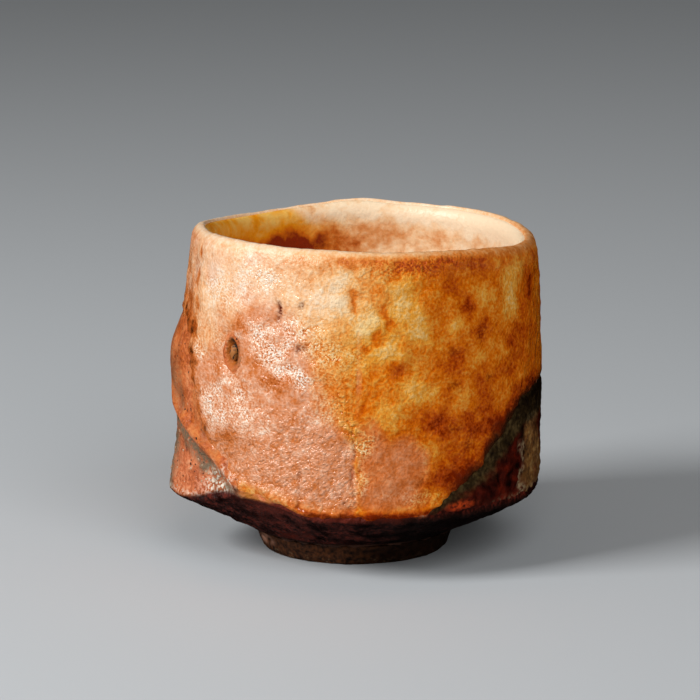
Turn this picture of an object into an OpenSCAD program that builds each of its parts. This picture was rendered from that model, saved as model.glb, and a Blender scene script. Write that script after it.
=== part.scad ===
// Guinomi: a small hand-formed stoneware sake cup.
// A coarse clay bowl stands on a foot ring that is luted on with slip. It carries a thick
// glaze outside and a thinner lining inside. A hand's grip on the left and a spatula cut
// on the right are bare of glaze. Wood ash has crusted on the cut, and stones show in the clay.
// The foot's centre stands at the origin, +Z is up and -Y is the cup's front. Angles are in
// degrees, anticlockwise from the cup's right as seen from above, so 270 is the front.

/* [Bowl] */
// Mean height of the clay rim above the table
cup_height = 60.2; // [48:0.1:74]
// Radius of the clay wall where it is widest
wall_radius = 33.2; // [27:0.1:41]
// Height at which the wall is widest
belly_height = 28; // [22:0.5:36]
// Radius of the clay wall at the rim
rim_radius = 31.9; // [26:0.1:38]
// Radius of the clay wall at its lower edge
hip_radius = 33.4; // [27:0.1:40]
// Height of the lower edge, where the wall turns under
hip_height = 11.4; // [9:0.1:15]
// Radius of the worn lower edge
hip_round = 0.9; // [0.5:0.1:1.6]
// How far the bowl's axis stands to the right of the foot's
bowl_offset = 1.5; // [0:0.1:2.5]
// How far the wall is out of round
oval = 0.3; // [0:0.05:0.8]
// Clay thickness at mid wall
wall = 4.4; // [3.2:0.1:5.6]
// Clay thickness at the rim
rim_wall = 3.3; // [2.4:0.1:4.2]
// Height of the rounded lip
rim_round = 2.6; // [1.8:0.1:3.4]
// Clay thickness of the floor above the foot
floor_thick = 6; // [4:0.1:8]
// Radius of the bowl's inner corner
bowl_corner = 12; // [8:0.5:16]
// Depth of the dished floor's middle
floor_dish = 0.8; // [0:0.1:1.5]

/* [Rim line] */
// Rise of the rim on its high side and fall on its low side
rim_tilt = 1.1; // [0:0.1:2]
// Rise of the rim at the back right
back_rise = 0.9; // [0:0.1:1.8]
// Height of the small peak at the back
rim_peak = 0.6; // [0:0.1:2]
// Depth of the dip at the back left
rim_dip = 1; // [0:0.1:2]
// Depth of the dip at the right
right_dip = 1; // [0:0.1:1.5]

/* [Hand marks] */
// How far the grip's bulge stands out on the left
bulge = 2.9; // [0:0.1:4]
// Height of the bulge's middle
bulge_height = 37; // [30:0.5:40]
// How far the wall is pressed in above the bulge
press = 0.8; // [0:0.1:1.5]
// How far the lip of the left cut stands out
lip = 3; // [0:0.1:4]
// How far the lip hangs below the lower edge
lip_drop = 0.3; // [0:0.1:2]
// Rise of the arch that the spatula left in the lower edge
arch_rise = 2.9; // [0:0.1:4]
// Depth of the left scoop
scoop = 1.2; // [0:0.1:1.8]
// Height of the ridge along the scoop's upper side
ridge = 1.1; // [0:0.1:1.5]
// Depth of the right spatula cut
facet = 0.3; // [0:0.1:1.4]

/* [Foot] */
// Height of the foot ring
foot_height = 3.8; // [3:0.1:6]
// Radius of the foot where it stands
foot_radius = 17.6; // [14:0.1:20]
// How much wider the foot is at its top
foot_flare = 1.3; // [0:0.1:2.5]
// Width of the ring on which the cup stands
foot_land = 4.6; // [3.5:0.1:6]
// Chamfer of the foot's worn edges
foot_chamfer = 0.5; // [0.2:0.1:0.8]
// Thickness of the slip in the foot's joint
slip = 0.5; // [0.3:0.05:0.9]
// How far the slip stays back from the foot's edges
slip_inset = 0.6; // [0.2:0.1:1]
// Width of flat clay left round the foot's top
seat_margin = 0.4; // [0.2:0.1:1]

/* [Glaze] */
// Thickness of the outer glaze
glaze = 0.5; // [0.3:0.05:0.8]
// Thickness of the glaze at its bare edge
glaze_edge = 0.25; // [0.15:0.05:0.3]
// Thickness of the inner lining
lining = 0.4; // [0.3:0.05:0.6]
// Height of bare clay left above the lower edge
glaze_gap = 0.8; // [0.5:0.1:2]
// Height up to which the left grip is bare
grip_top = 45; // [36:0.5:47]
// Height of the bare arc on the right, above the lower edge
cut_rise = 24; // [14:0.5:28]
// Thickness of the ash crust on the right cut
ash = 0.3; // [0.2:0.05:0.5]

/* [Stones] */
// Number of feldspar grains that show in the bare clay
grain_count = 14; // [4:1:20]
// Radius of the largest grain
grain_radius = 0.5; // [0.3:0.05:0.8]
// Radius of the pit that the burst stone left
pit_radius = 1.9; // [1.4:0.1:2.4]
// Depth of the pit
pit_depth = 1.5; // [0.9:0.1:1.8]
// Radius of the stone left in the pit
stone_radius = 1; // [0.6:0.1:1.2]

/* [Hidden] */

// Where the marks lie round the cup, and how far they reach to each side
TILT_AT = 225;
BACK_RISE = [70, 70];
PEAK = [92, 16];
DIP = [145, 45];
RIGHT_DIP = [345, 45];
BULGE = [180, 38];
BULGE_DOWN = 17;
BULGE_UP = 10.5;
PRESS = [186, 34];
PRESS_UP = 23;
PRESS_REACH = 14;
LIP = [187, 26];
LIP_REACH = 20;
ARCH = [232, 26];
SCOOP = [212, 24];
SCOOP_UP = 7;
SCOOP_REACH = 9;
FACET = [5, 75];
FACET_REACH = 20;
OVAL_AT = 20;
LEFT = 180;
// The left ridge falls along the wall from its start towards the front
RIDGE_FROM = 12;
RIDGE_TO = 52;
RIDGE_FADE_IN = 12;
RIDGE_FADE_OUT = 8;
RIDGE_START = 28;
RIDGE_SLOPE = 0.32;
RIDGE_HALF = 2.4;
// The grip's bare patch begins at its back edge. Its front edge falls towards the ridge, as
// angles from the left with shares of the patch's height.
GRIP_BACK = -46;
GRIP_BACK_FADE = 20;
GRIP_EDGE = [
    [17, 1], [24, 0.91], [27, 0.82], [29, 0.67], [34, 0.57], [40, 0.51], [46, 0.41], [50, 0.33], [54, 0]
];
// The right cut rises to its full height over this angle, and the ash stops short of its two ends
CUT_RUN = 53;
ASH_SHORT = 9;
// The grains lie in this part of the scoop, this far from its upper and lower edges
GRAIN_FROM = 184;
GRAIN_SPAN = 36;
GRAIN_LIFT = 2.5;
GRAIN_SPREAD = 0.4;
GOLDEN = 0.618;
PIT_AT = 224;
PIT_UP = 41.5;
// The stones are angular, with this many sides, and so is the pit
GRAIN_SIDES = 8;
PIT_SIDES = 12;
// How much the underside sags, and how soon the bowl's inside widens below the lip
UNDER_SAG = 1.15;
WIDEN_RATE = 1.5;

// Counts of points round the cup and along its section
SEGMENTS = 72;
UNDER_ROWS = 5;
HIP_ROWS = 3;
HIP_START = -65;
BARE_ROWS = 9;
GLAZE_ROWS = 14;
RIM_ROWS = 6;
INNER_ROWS = 11;
CORNER_ROWS = 6;
FLOOR_ROWS = 2;
STEP = 360 / SEGMENTS;

foot_top = foot_radius + foot_flare;
recess_radius = foot_radius - foot_land;
seat_height = foot_height + slip;
seat_radius = foot_top + seat_margin;
floor_height = seat_height + floor_thick;

function mix(p, q, t) = p + (q - p) * t;
function clamp(t) = min(1, max(0, t));
function ease(t) = let (c = clamp(t)) c * c * (3 - 2 * c);
function bell(t) = abs(t) < 1 ? pow(1 - t * t, 2) : 0;

// Signed angle from one bearing to another, from -180 to 180
function turn(a, b) = (a - b + 540) % 360 - 180;
function around(a, mark) = bell(turn(a, mark[0]) / mark[1]);

// Heights of the rim, the lower edge and the ridge round the cup
function rim_z(a) =
    cup_height + rim_tilt * cos(a - TILT_AT)
    + back_rise * around(a, BACK_RISE) + rim_peak * around(a, PEAK)
    - rim_dip * around(a, DIP) - right_dip * around(a, RIGHT_DIP);
function shoulder_z(a) = rim_z(a) - rim_round;
function hip_z(a) = hip_height + arch_rise * around(a, ARCH) - lip_drop * around(a, LIP);
function ridge_z(a) =
    min(grip_top, RIDGE_START - RIDGE_SLOPE * (turn(a, LEFT) - RIDGE_FROM));

// Radius of the clay's outside, seen from the bowl's axis
function lathe(z) =
    z > belly_height
    ? wall_radius
      - (wall_radius - rim_radius) * pow((z - belly_height) / (cup_height - belly_height), 2)
    : wall_radius
      - (wall_radius - hip_radius) * pow((belly_height - z) / (belly_height - hip_height), 2);
function ridge_r(a, z) =
    let (d = turn(a, LEFT))
    ridge * bell((z - ridge_z(a)) / RIDGE_HALF)
    * ease((d - RIDGE_FROM + RIDGE_FADE_IN) / RIDGE_FADE_IN)
    * (1 - ease((d - RIDGE_TO + RIDGE_FADE_OUT) / RIDGE_FADE_OUT));
function marks_r(a, z) =
    bulge * around(a, BULGE)
    * bell((z - bulge_height) / (z < bulge_height ? BULGE_DOWN : BULGE_UP))
    - press * around(a, PRESS) * bell((z - bulge_height - PRESS_UP) / PRESS_REACH)
    + lip * around(a, LIP) * bell((z - hip_z(a)) / LIP_REACH)
    - scoop * around(a, SCOOP) * bell((z - hip_z(a) - SCOOP_UP) / SCOOP_REACH)
    - facet * around(a, FACET) * bell((z - hip_z(a)) / FACET_REACH)
    + ridge_r(a, z);
function outer_r(a, z) = lathe(z) + oval * cos(2 * (a - OVAL_AT)) + marks_r(a, z);
function bowl_r(a) = wall_radius - wall + oval * cos(2 * (a - OVAL_AT));

// Height down to which the outer glaze reaches
function grip_line(a) =
    let (d = turn(a, LEFT))
    grip_top * ease((d - GRIP_BACK) / GRIP_BACK_FADE) * lookup(d, GRIP_EDGE);
function cut_line(a) =
    hip_z(a) + hip_round + cut_rise * ease((FACET[1] - abs(turn(a, FACET[0]))) / CUT_RUN);
function glaze_line(a) = max(hip_z(a) + hip_round + glaze_gap, grip_line(a), cut_line(a));

// One section of the clay at an angle, as [radius, height, share of the bowl's offset]:
// from the foot's seat out to the lower edge, up the wall, over the lip and down inside
function hip_arc(a) =
    let (
        low = hip_z(a) + hip_round,
        centre = outer_r(a, low) - hip_round
    )
    [
        for (j = [0:HIP_ROWS]) let (q = mix(HIP_START, 0, j / HIP_ROWS))
            [centre + hip_round * cos(q), low + hip_round * sin(q), 1]
    ];
function underside(a) =
    let (end = hip_arc(a)[0])
    [
        for (j = [0:UNDER_ROWS - 1]) let (t = j / UNDER_ROWS)
            [mix(seat_radius, end[0], t), mix(seat_height, end[1], pow(t, UNDER_SAG)), t]
    ];
function wall_rows(a, low, high, rows) = [
    for (j = [1:rows]) let (z = mix(low, high, j / rows)) [outer_r(a, z), z, 1]
];
function lip_arc(a) =
    let (middle = outer_r(a, shoulder_z(a)) - rim_wall / 2)
    [
        for (j = [1:RIM_ROWS]) let (q = 180 * j / RIM_ROWS)
            [middle + rim_wall / 2 * cos(q), shoulder_z(a) + rim_round * sin(q), 1]
    ];
function inside(a) =
    let (
        top = shoulder_z(a),
        bottom = floor_height + bowl_corner,
        top_r = outer_r(a, top) - rim_wall
    )
    [
        for (j = [1:INNER_ROWS]) let (t = j / INNER_ROWS)
            [mix(top_r, bowl_r(a), ease(WIDEN_RATE * t)), mix(top, bottom, t), 1]
    ];
function floor_rows(a) =
    let (flat_r = bowl_r(a) - bowl_corner)
    [
        for (j = [1:CORNER_ROWS]) let (q = 90 * j / CORNER_ROWS)
            [flat_r + bowl_corner * cos(q), floor_height + bowl_corner * (1 - sin(q)), 1],
        for (j = [1:FLOOR_ROWS]) let (t = j / (FLOOR_ROWS + 1))
            [flat_r * (1 - t), floor_height - floor_dish * ease(t), 1]
    ];
function section(a) = concat(
    underside(a),
    hip_arc(a),
    wall_rows(a, hip_z(a) + hip_round, glaze_line(a), BARE_ROWS),
    wall_rows(a, glaze_line(a), shoulder_z(a), GLAZE_ROWS),
    lip_arc(a),
    inside(a),
    floor_rows(a)
);

// Rows of the section at which its stretches begin and end
BARE_START = UNDER_ROWS + HIP_ROWS;
GLAZE_START = BARE_START + BARE_ROWS;
CREST = GLAZE_START + GLAZE_ROWS + RIM_ROWS / 2;
LAST = GLAZE_START + GLAZE_ROWS + RIM_ROWS + INNER_ROWS + CORNER_ROWS + FLOOR_ROWS;

sections = [for (i = [0:SEGMENTS - 1]) section(i * STEP)];

// A row's point, moved out from the clay by a coat's thickness
function normal_at(s, k) =
    let (
        d = s[min(k + 1, LAST)] - s[max(k - 1, 0)],
        n = [d[1], -d[0]]
    )
    n / norm(n);
function point(i, k, coat = 0) =
    let (
        s = sections[(i + SEGMENTS) % SEGMENTS],
        n = coat == 0 ? [0, 0] : normal_at(s, k),
        r = s[k][0] + coat * n[0],
        z = s[k][1] + coat * n[1],
        a = i * STEP
    )
    [r * cos(a) + bowl_offset * s[k][2], r * sin(a), z];
function ring(k, coat = 0) = [for (i = [0:SEGMENTS - 1]) point(i, k, coat)];

// Quads between rings that follow each other, split into triangles that face outwards.
// Where the rings run back along the clay, the split runs the other way, so that a coat's
// triangles are the clay's own.
function band(low, high, count, closed, back) = [
    for (i = [0:count - (closed ? 1 : 2)])
        let (n = (i + 1) % count)
        each back
            ? [[low + i, high + i, low + n], [high + i, high + n, low + n]]
            : [[low + i, high + i, high + n], [low + i, high + n, low + n]]
];

// A closed skin from one middle point, over rings, to another middle point.
// The first bands, up to back_to, run back along the clay.
module capped_skin(start, rings, end, back_to = 0) {
    last = 1 + (len(rings) - 1) * SEGMENTS;
    top = last + SEGMENTS;
    polyhedron(
        points = [start, each [for (r = rings) each r], end],
        faces = concat(
            [for (i = [0:SEGMENTS - 1]) [0, 1 + i, 1 + (i + 1) % SEGMENTS]],
            [
                for (k = [0:len(rings) - 2])
                    each band(1 + k * SEGMENTS, 1 + (k + 1) * SEGMENTS, SEGMENTS, true, k < back_to)
            ],
            [for (i = [0:SEGMENTS - 1]) [last + i, top, last + (i + 1) % SEGMENTS]]
        ),
        convexity = 6
    );
}

// A closed skin of rings that come back to the first one, like a hollow hoop.
// The bands from back_from on run back along the clay.
module hoop_skin(rings, back_from) {
    count = len(rings);
    polyhedron(
        points = [for (r = rings) each r],
        faces = [
            for (k = [0:count - 1])
                each band(k * SEGMENTS, (k + 1) % count * SEGMENTS, SEGMENTS, true, k >= back_from)
        ],
        convexity = 6
    );
}

// Places a shape on the clay wall, at a depth below its surface, with +X pointing outwards
module on_wall(a, z, depth = 0) {
    translate([bowl_offset, 0, z]) rotate([0, 0, a]) translate([outer_r(a, z) - depth, 0, 0])
        children();
}

// Grains are strewn over the bare clay below the ridge, and each sits half in the clay
module grains() {
    for (i = [0:grain_count - 1]) {
        share = i * GOLDEN % 1;
        a = GRAIN_FROM + GRAIN_SPAN * share;
        low = hip_z(a) + hip_round + GRAIN_LIFT;
        z = mix(low, ridge_z(a) - GRAIN_LIFT, (i + 0.5) / grain_count);
        on_wall(a, z)
            sphere(r = grain_radius * (1 - GRAIN_SPREAD * share), $fn = GRAIN_SIDES);
    }
}
module pit() {
    on_wall(PIT_AT, PIT_UP, pit_depth - pit_radius)
        sphere(r = pit_radius, $fn = PIT_SIDES);
}
module pit_stone() {
    on_wall(PIT_AT, PIT_UP, pit_depth)
        sphere(r = stone_radius, $fn = GRAIN_SIDES);
}

// Bowl of coarse stoneware, with sockets for the stones that show
module clay_body() {
    color("sienna")
        difference() {
            capped_skin(
                [0, 0, seat_height],
                [for (k = [0:LAST]) ring(k)],
                [bowl_offset, 0, floor_height - floor_dish]
            );
            grains();
            pit();
            pit_stone();
        }
}

// Foot ring, turned to a flat land with worn edges
module foot_ring() {
    color("saddlebrown")
        rotate_extrude($fn = 96)
            polygon([
                [recess_radius + foot_chamfer, 0],
                [foot_radius - foot_chamfer, 0],
                [foot_radius, foot_chamfer],
                [foot_top, foot_height],
                [recess_radius, foot_height],
                [recess_radius, foot_chamfer]
            ]);
}

// Layer of slip that holds the foot to the bowl
module luting_slip() {
    color("peru")
        translate([0, 0, foot_height])
            difference() {
                cylinder(h = slip, r = foot_top - slip_inset, $fn = 96);
                translate([0, 0, -slip])
                    cylinder(h = 3 * slip, r = recess_radius + slip_inset, $fn = 96);
            }
}

// Thick outer glaze, from the bare lower edge to the crest of the lip
module outer_glaze() {
    color("sandybrown")
        difference() {
            hoop_skin(
                [
                    ring(GLAZE_START, glaze_edge),
                    for (k = [GLAZE_START + 1:CREST - 1]) ring(k, glaze),
                    ring(CREST, lining),
                    for (k = [CREST:-1:GLAZE_START]) ring(k)
                ],
                CREST - GLAZE_START
            );
            pit();
        }
}

// Thinner glaze that lines the bowl, from the crest of the lip to the floor's middle
module lining_glaze() {
    middle = [bowl_offset, 0, floor_height - floor_dish];
    color("burlywood")
        capped_skin(
            middle,
            [
                for (k = [LAST:-1:CREST]) ring(k),
                for (k = [CREST:LAST]) ring(k, lining)
            ],
            middle + [0, 0, lining],
            LAST - CREST
        );
}

// Crust of melted wood ash on the bare right cut
module ash_crust() {
    reach = FACET[1] - ASH_SHORT;
    first = ceil((FACET[0] - reach) / STEP);
    last = floor((FACET[0] + reach) / STEP);
    count = last - first + 1;
    rings = [
        for (k = [BARE_START + 1:GLAZE_START - 1])
            [for (i = [first:last]) point(i, k, ash)],
        for (k = [GLAZE_START - 1:-1:BARE_START + 1])
            [for (i = [first:last]) point(i, k)]
    ];
    total = len(rings);
    half = total / 2;
    color("darkolivegreen")
        polyhedron(
            points = [for (r = rings) each r],
            faces = concat(
                [
                    for (k = [0:total - 1])
                        each band(k * count, (k + 1) % total * count, count, false, k >= half)
                ],
                [
                    for (k = [0:half - 2])
                        let (p = k * count, q = (total - 1 - k) * count)
                        each [[p, q, q - count], [p, q - count, p + count]]
                ],
                [
                    for (k = [0:half - 2])
                        let (p = k * count + count - 1, q = (total - 1 - k) * count + count - 1)
                        each [[p, q - count, q], [p, p + count, q - count]]
                ]
            ),
            convexity = 4
        );
}

// Feldspar grains in the bare clay of the left scoop
module feldspar_grains() {
    color("linen") grains();
}

// What is left of the stone that burst in the fire, at the bottom of its pit
module burst_stone() {
    color("dimgray") pit_stone();
}

clay_body();
foot_ring();
luting_slip();
outer_glaze();
lining_glaze();
ash_crust();
feldspar_grains();
burst_stone();
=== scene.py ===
import functools
import math

import bmesh
import bpy
import numpy as np
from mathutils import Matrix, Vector, noise


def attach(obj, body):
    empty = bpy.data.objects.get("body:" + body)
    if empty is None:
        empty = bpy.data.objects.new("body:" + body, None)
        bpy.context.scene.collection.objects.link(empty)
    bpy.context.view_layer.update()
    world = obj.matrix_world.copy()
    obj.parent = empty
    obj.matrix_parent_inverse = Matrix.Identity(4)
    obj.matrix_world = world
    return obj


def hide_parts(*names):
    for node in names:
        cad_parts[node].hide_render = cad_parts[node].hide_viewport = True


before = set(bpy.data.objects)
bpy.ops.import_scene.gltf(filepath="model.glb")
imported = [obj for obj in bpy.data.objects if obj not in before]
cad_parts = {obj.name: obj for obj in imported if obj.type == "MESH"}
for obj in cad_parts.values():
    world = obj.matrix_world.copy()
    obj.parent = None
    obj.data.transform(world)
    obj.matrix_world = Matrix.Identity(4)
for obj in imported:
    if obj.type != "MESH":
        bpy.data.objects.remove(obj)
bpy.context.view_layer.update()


# Clay bowl
# Raised by hand from coarse, iron-bearing stoneware and pared with a spatula while it was stiff.
# It is bare where the hand held it on the left, on the cut at the lower right, and underneath.
# Sizes are in millimetres and angles in degrees, anticlockwise from the right, so 270 is the front.
MM = 0.001
CUP_HEIGHT = 60.2
WALL_RADIUS = 33.2
BELLY_HEIGHT = 28
RIM_RADIUS = 31.9
HIP_RADIUS = 33.4
HIP_HEIGHT = 11.4
HIP_ROUND = 0.9
HIP_START = -65
BOWL_OFFSET = 1.5
OVAL = 0.3
OVAL_AT = 20
WALL = 4.4
RIM_WALL = 3.3
RIM_ROUND = 2.6
FLOOR_THICK = 6
BOWL_CORNER = 12
FLOOR_DISH = 0.8
UNDER_SAG = 1.15
WIDEN_RATE = 1.5
FOOT_HEIGHT = 3.8
FOOT_TOP = 18.9
SLIP = 0.5
SEAT_MARGIN = 0.4
SEAT_HEIGHT = FOOT_HEIGHT + SLIP
SEAT_RADIUS = FOOT_TOP + SEAT_MARGIN
FLOOR_HEIGHT = SEAT_HEIGHT + FLOOR_THICK
# Each mark has its depth, its bearing and how far it reaches to each side
RIM_TILT = 1.1
RIM_TILT_AT = 225
RIM_MARKS = [(0.9, 70, 70), (0.6, 92, 16), (-1, 145, 45), (-1, 345, 45)]
ARCH = (2.9, 232, 26)
BULGE = (2.9, 180, 38)
BULGE_HEIGHT = 37
BULGE_DOWN = 17
BULGE_UP = 10.5
PRESS = (-0.8, 186, 34)
PRESS_UP = 23
PRESS_REACH = 14
SCOOP = (-1.2, 212, 24)
SCOOP_UP = 7
SCOOP_REACH = 9
# The scoop leaves a corner that stands out at the lower left
CORNER = (3, 187, 26)
CORNER_DROP = (-0.3, 187, 26)
CORNER_REACH = 20
CUT_AT = 5
CUT_SIDE = 75
CUT = (-0.3, CUT_AT, CUT_SIDE)
CUT_REACH = 20
# The ridge above the left scoop falls towards the front
RIDGE = 1.1
RIDGE_FROM = 192
RIDGE_TO = 232
RIDGE_START = 28
RIDGE_SLOPE = 0.32
RIDGE_HALF = 2.4
RIDGE_FADE_IN = 12
RIDGE_FADE_OUT = 8
GRIP_TOP = 45
# The pit that a bursting stone left on the upper left
PIT_AT = 224
PIT_UP = 41.5
PIT_WIDE = 1.5
PIT_TALL = 2.4
PIT_DEPTH = 1.6


def bell(t):
    return np.clip(1 - t * t, 0, None) ** 2


def ease(t):
    share = np.clip(t, 0, 1)
    return share * share * (3 - 2 * share)


def mix(low, high, share):
    return low + (high - low) * share


def turn(angle, bearing):
    """Signed angle from a bearing, from -180 to 180."""
    return (angle - bearing + 540) % 360 - 180


def mark(angle, shape):
    depth, bearing, reach = shape
    return depth * bell(turn(angle, bearing) / reach)


def within(value, span):
    """1 in a span and 0 out of it, given as its ends and the widths over which it comes and goes."""
    first, last, coming, going = span
    return ease((value - first) / coming) * ease((last - value) / going)


def spot(angle, z, shape, uneven=0):
    """A round patch on the wall, given as its bearing, height, half width and half height."""
    bearing, up, wide, tall = shape
    across = np.radians(turn(angle, bearing)) * WALL_RADIUS
    return bell(np.hypot(across / wide, (z - up) / tall) + uneven)


def rim_z(angle):
    tilt = RIM_TILT * np.cos(np.radians(angle - RIM_TILT_AT))
    return CUP_HEIGHT + tilt + sum(mark(angle, shape) for shape in RIM_MARKS)


def hip_z(angle):
    return HIP_HEIGHT + mark(angle, ARCH) + mark(angle, CORNER_DROP)


def ridge_z(angle):
    past = turn(angle, RIDGE_FROM)
    return np.minimum(GRIP_TOP, RIDGE_START - RIDGE_SLOPE * past)


def oval(angle):
    return OVAL * np.cos(np.radians(2 * (angle - OVAL_AT)))


def clay_radius(angle, z):
    """Radius of the clay's outside, seen from the bowl's axis."""
    rise = np.clip((z - BELLY_HEIGHT) / (CUP_HEIGHT - BELLY_HEIGHT), 0, None)
    fall = np.clip((BELLY_HEIGHT - z) / (BELLY_HEIGHT - HIP_HEIGHT), 0, None)
    lathe = WALL_RADIUS - (WALL_RADIUS - RIM_RADIUS) * rise**2 - (WALL_RADIUS - HIP_RADIUS) * fall**2
    above_hip = z - hip_z(angle)
    above_bulge = z - BULGE_HEIGHT
    past = turn(angle, RIDGE_FROM)
    ridge = RIDGE * bell((z - ridge_z(angle)) / RIDGE_HALF)
    ridge = ridge * ease((past + RIDGE_FADE_IN) / RIDGE_FADE_IN)
    ridge = ridge * ease((RIDGE_TO - RIDGE_FROM - past) / RIDGE_FADE_OUT)
    return (
        lathe
        + oval(angle)
        + mark(angle, BULGE) * bell(above_bulge / np.where(above_bulge < 0, BULGE_DOWN, BULGE_UP))
        + mark(angle, PRESS) * bell((above_bulge - PRESS_UP) / PRESS_REACH)
        + mark(angle, CORNER) * bell(above_hip / CORNER_REACH)
        + mark(angle, SCOOP) * bell((above_hip - SCOOP_UP) / SCOOP_REACH)
        + mark(angle, CUT) * bell(above_hip / CUT_REACH)
        + ridge
    )


def on_cup(angle, radius, z, offset_share=1.0):
    """Points in millimetres from the bowl's own bearings, radii and heights."""
    turned = np.radians(angle)
    x = radius * np.cos(turned) + BOWL_OFFSET * offset_share
    return np.stack(np.broadcast_arrays(x, radius * np.sin(turned), z), axis=-1)


def bearings(points, offset=BOWL_OFFSET):
    """Bearings of points from an upright axis at that offset."""
    return np.degrees(np.arctan2(points[..., 1], points[..., 0] - offset)) % 360


def wall_rows(angle, share):
    z = mix(hip_z(angle) + HIP_ROUND, rim_z(angle) - RIM_ROUND, share)
    return clay_radius(angle, z), z


def lip_rows(angle, degrees):
    """The rounded lip, from its outside at 0 degrees over its crest at 90 to its inside at 180."""
    shoulder = rim_z(angle) - RIM_ROUND
    middle = clay_radius(angle, shoulder) - RIM_WALL / 2
    turned = np.radians(degrees)
    return middle + RIM_WALL / 2 * np.cos(turned), shoulder + RIM_ROUND * np.sin(turned)


def hip_rows(angle, degrees):
    low = hip_z(angle) + HIP_ROUND
    turned = np.radians(degrees)
    return clay_radius(angle, low) - HIP_ROUND * (1 - np.cos(turned)), low + HIP_ROUND * np.sin(turned)


def bowl_radius(angle):
    return WALL_RADIUS - WALL + oval(angle)


def inner_rows(angle, share):
    """The bowl's inside, from the lip down to where its corner begins."""
    shoulder = rim_z(angle) - RIM_ROUND
    lip_inside = clay_radius(angle, shoulder) - RIM_WALL
    radius = mix(lip_inside, bowl_radius(angle), ease(WIDEN_RATE * share))
    return radius, mix(shoulder, FLOOR_HEIGHT + BOWL_CORNER, share)


def corner_rows(angle, degrees):
    turned = np.radians(degrees)
    radius = bowl_radius(angle) - BOWL_CORNER * (1 - np.cos(turned))
    return radius, FLOOR_HEIGHT + BOWL_CORNER * (1 - np.sin(turned))


def floor_rows(angle, share):
    radius = (bowl_radius(angle) - BOWL_CORNER) * (1 - share)
    return radius, FLOOR_HEIGHT - FLOOR_DISH * ease(share)


def outward(points):
    """Unit normals of a grid of points whose rows go round the cup."""
    round_cup = np.roll(points, -1, axis=1) - np.roll(points, 1, axis=1)
    normals = np.cross(round_cup, np.gradient(points, axis=0))
    return normals / np.linalg.norm(normals, axis=-1, keepdims=True)


SEED_STEP = 19.7


def lumps(points, size, seed=0):
    """Smooth noise from about -1 to 1 with lumps of that size."""
    places = (points.reshape(-1, 3) / size + SEED_STEP * seed).tolist()
    return np.array([noise.noise(place) for place in places]).reshape(points.shape[:-1])


def streaks(along, across, length, width, seed=0):
    """Smooth noise over a surface, drawn out to that length and width."""
    return lumps(np.stack([along / length, across / width, 0 * along], axis=-1), 1, seed)


def steps(first, last, count):
    """A column of evenly spaced values, without the last one."""
    return np.linspace(first, last, count, endpoint=False)[:, None]


def grid_faces(rows, columns):
    cells = np.arange(rows * columns).reshape(rows, columns)
    beside = np.roll(cells, -1, axis=1)
    return np.stack([cells[:-1], beside[:-1], beside[1:], cells[1:]], axis=-1)


def new_piece(name, points, faces, fields):
    """A smooth mesh from points in millimetres, with a named value on each point for its material."""
    mesh = bpy.data.meshes.new(name)
    mesh.from_pydata((points.reshape(-1, 3) * MM).tolist(), [], faces)
    mesh.shade_smooth()
    for field, values in fields.items():
        attribute = mesh.attributes.new(field, "FLOAT", "POINT")
        attribute.data.foreach_set("value", values.ravel().astype(np.float32))
    piece = bpy.data.objects.new(name, mesh)
    bpy.context.scene.collection.objects.link(piece)
    return piece


def capped_loft(name, points, start, end, fields):
    """A closed skin from one middle point, over rows of points round the cup, to another."""
    rows, columns = points.shape[:2]
    count = rows * columns
    faces = grid_faces(rows, columns).reshape(-1, 4).tolist()
    first = np.arange(columns)
    beside = np.roll(first, -1)
    last = count - columns
    faces += [(count, b, a) for a, b in zip(first.tolist(), beside.tolist())]
    faces += [(last + a, last + b, count + 1) for a, b in zip(first.tolist(), beside.tolist())]
    everything = np.concatenate([points.reshape(-1, 3), [start, end]])
    padded = {field: np.append(values.ravel(), [0, 0]) for field, values in fields.items()}
    return new_piece(name, everything, faces, padded)


# Columns stand closer together at the front than at the back
COLUMNS = 480
CROWDING = 28
RECESS_ROWS = 5
RECESS_FADE = 6
UNDER_ROWS = 40
HIP_ROWS = 5
WALL_ROWS = 118
LIP_ROWS = 14
CREST = 90
LIP_END = 112
even = np.arange(COLUMNS)[None, :] * 360 / COLUMNS
angles = even - CROWDING * np.cos(np.radians(even))
hip_start_r, hip_start_z = hip_rows(angles, HIP_START)
recess = steps(0.2, 1, RECESS_ROWS)
under = steps(0, 1, UNDER_ROWS)
under_r = mix(SEAT_RADIUS, hip_start_r, under)
under_z = mix(SEAT_HEIGHT, hip_start_z, under**UNDER_SAG)
lip_degrees = steps(0, LIP_END, LIP_ROWS)
underside = [
    on_cup(angles, SEAT_RADIUS * recess, SEAT_HEIGHT, 0),
    on_cup(angles, under_r, under_z, under),
    on_cup(angles, *hip_rows(angles, steps(HIP_START, 0, HIP_ROWS))),
]
outside = [
    on_cup(angles, *wall_rows(angles, steps(0, 1, WALL_ROWS))),
    on_cup(angles, *lip_rows(angles, lip_degrees)),
]
# The inside is hidden by the lining, so it has few rows
hidden_inside = [
    on_cup(angles, *lip_rows(angles, steps(120, 180, 3))),
    on_cup(angles, *inner_rows(angles, steps(0, 1, 8))),
    on_cup(angles, *corner_rows(angles, steps(0, 90, 6))),
    on_cup(angles, *floor_rows(angles, steps(0, 1, 3))),
]
clay = np.concatenate(underside + outside + hidden_inside)
clay_angle = bearings(clay)
clay_z = clay[..., 2]
wall_from = sum(len(rows) for rows in underside)
wall_to = wall_from + sum(len(rows) for rows in outside)

# Stretches of the wall, as their first and last bearing and how softly each comes and goes
LEFT = (140, 240, 20, 10)
AT_ARCH = (224, 244, 5, 5)
AT_FRONT = (238, 290, 8, 10)
AT_CORNER = (170, 206, 8, 8)
RIDGE_BLUR = 2.4
RIDGE_EVEN = 200
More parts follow.
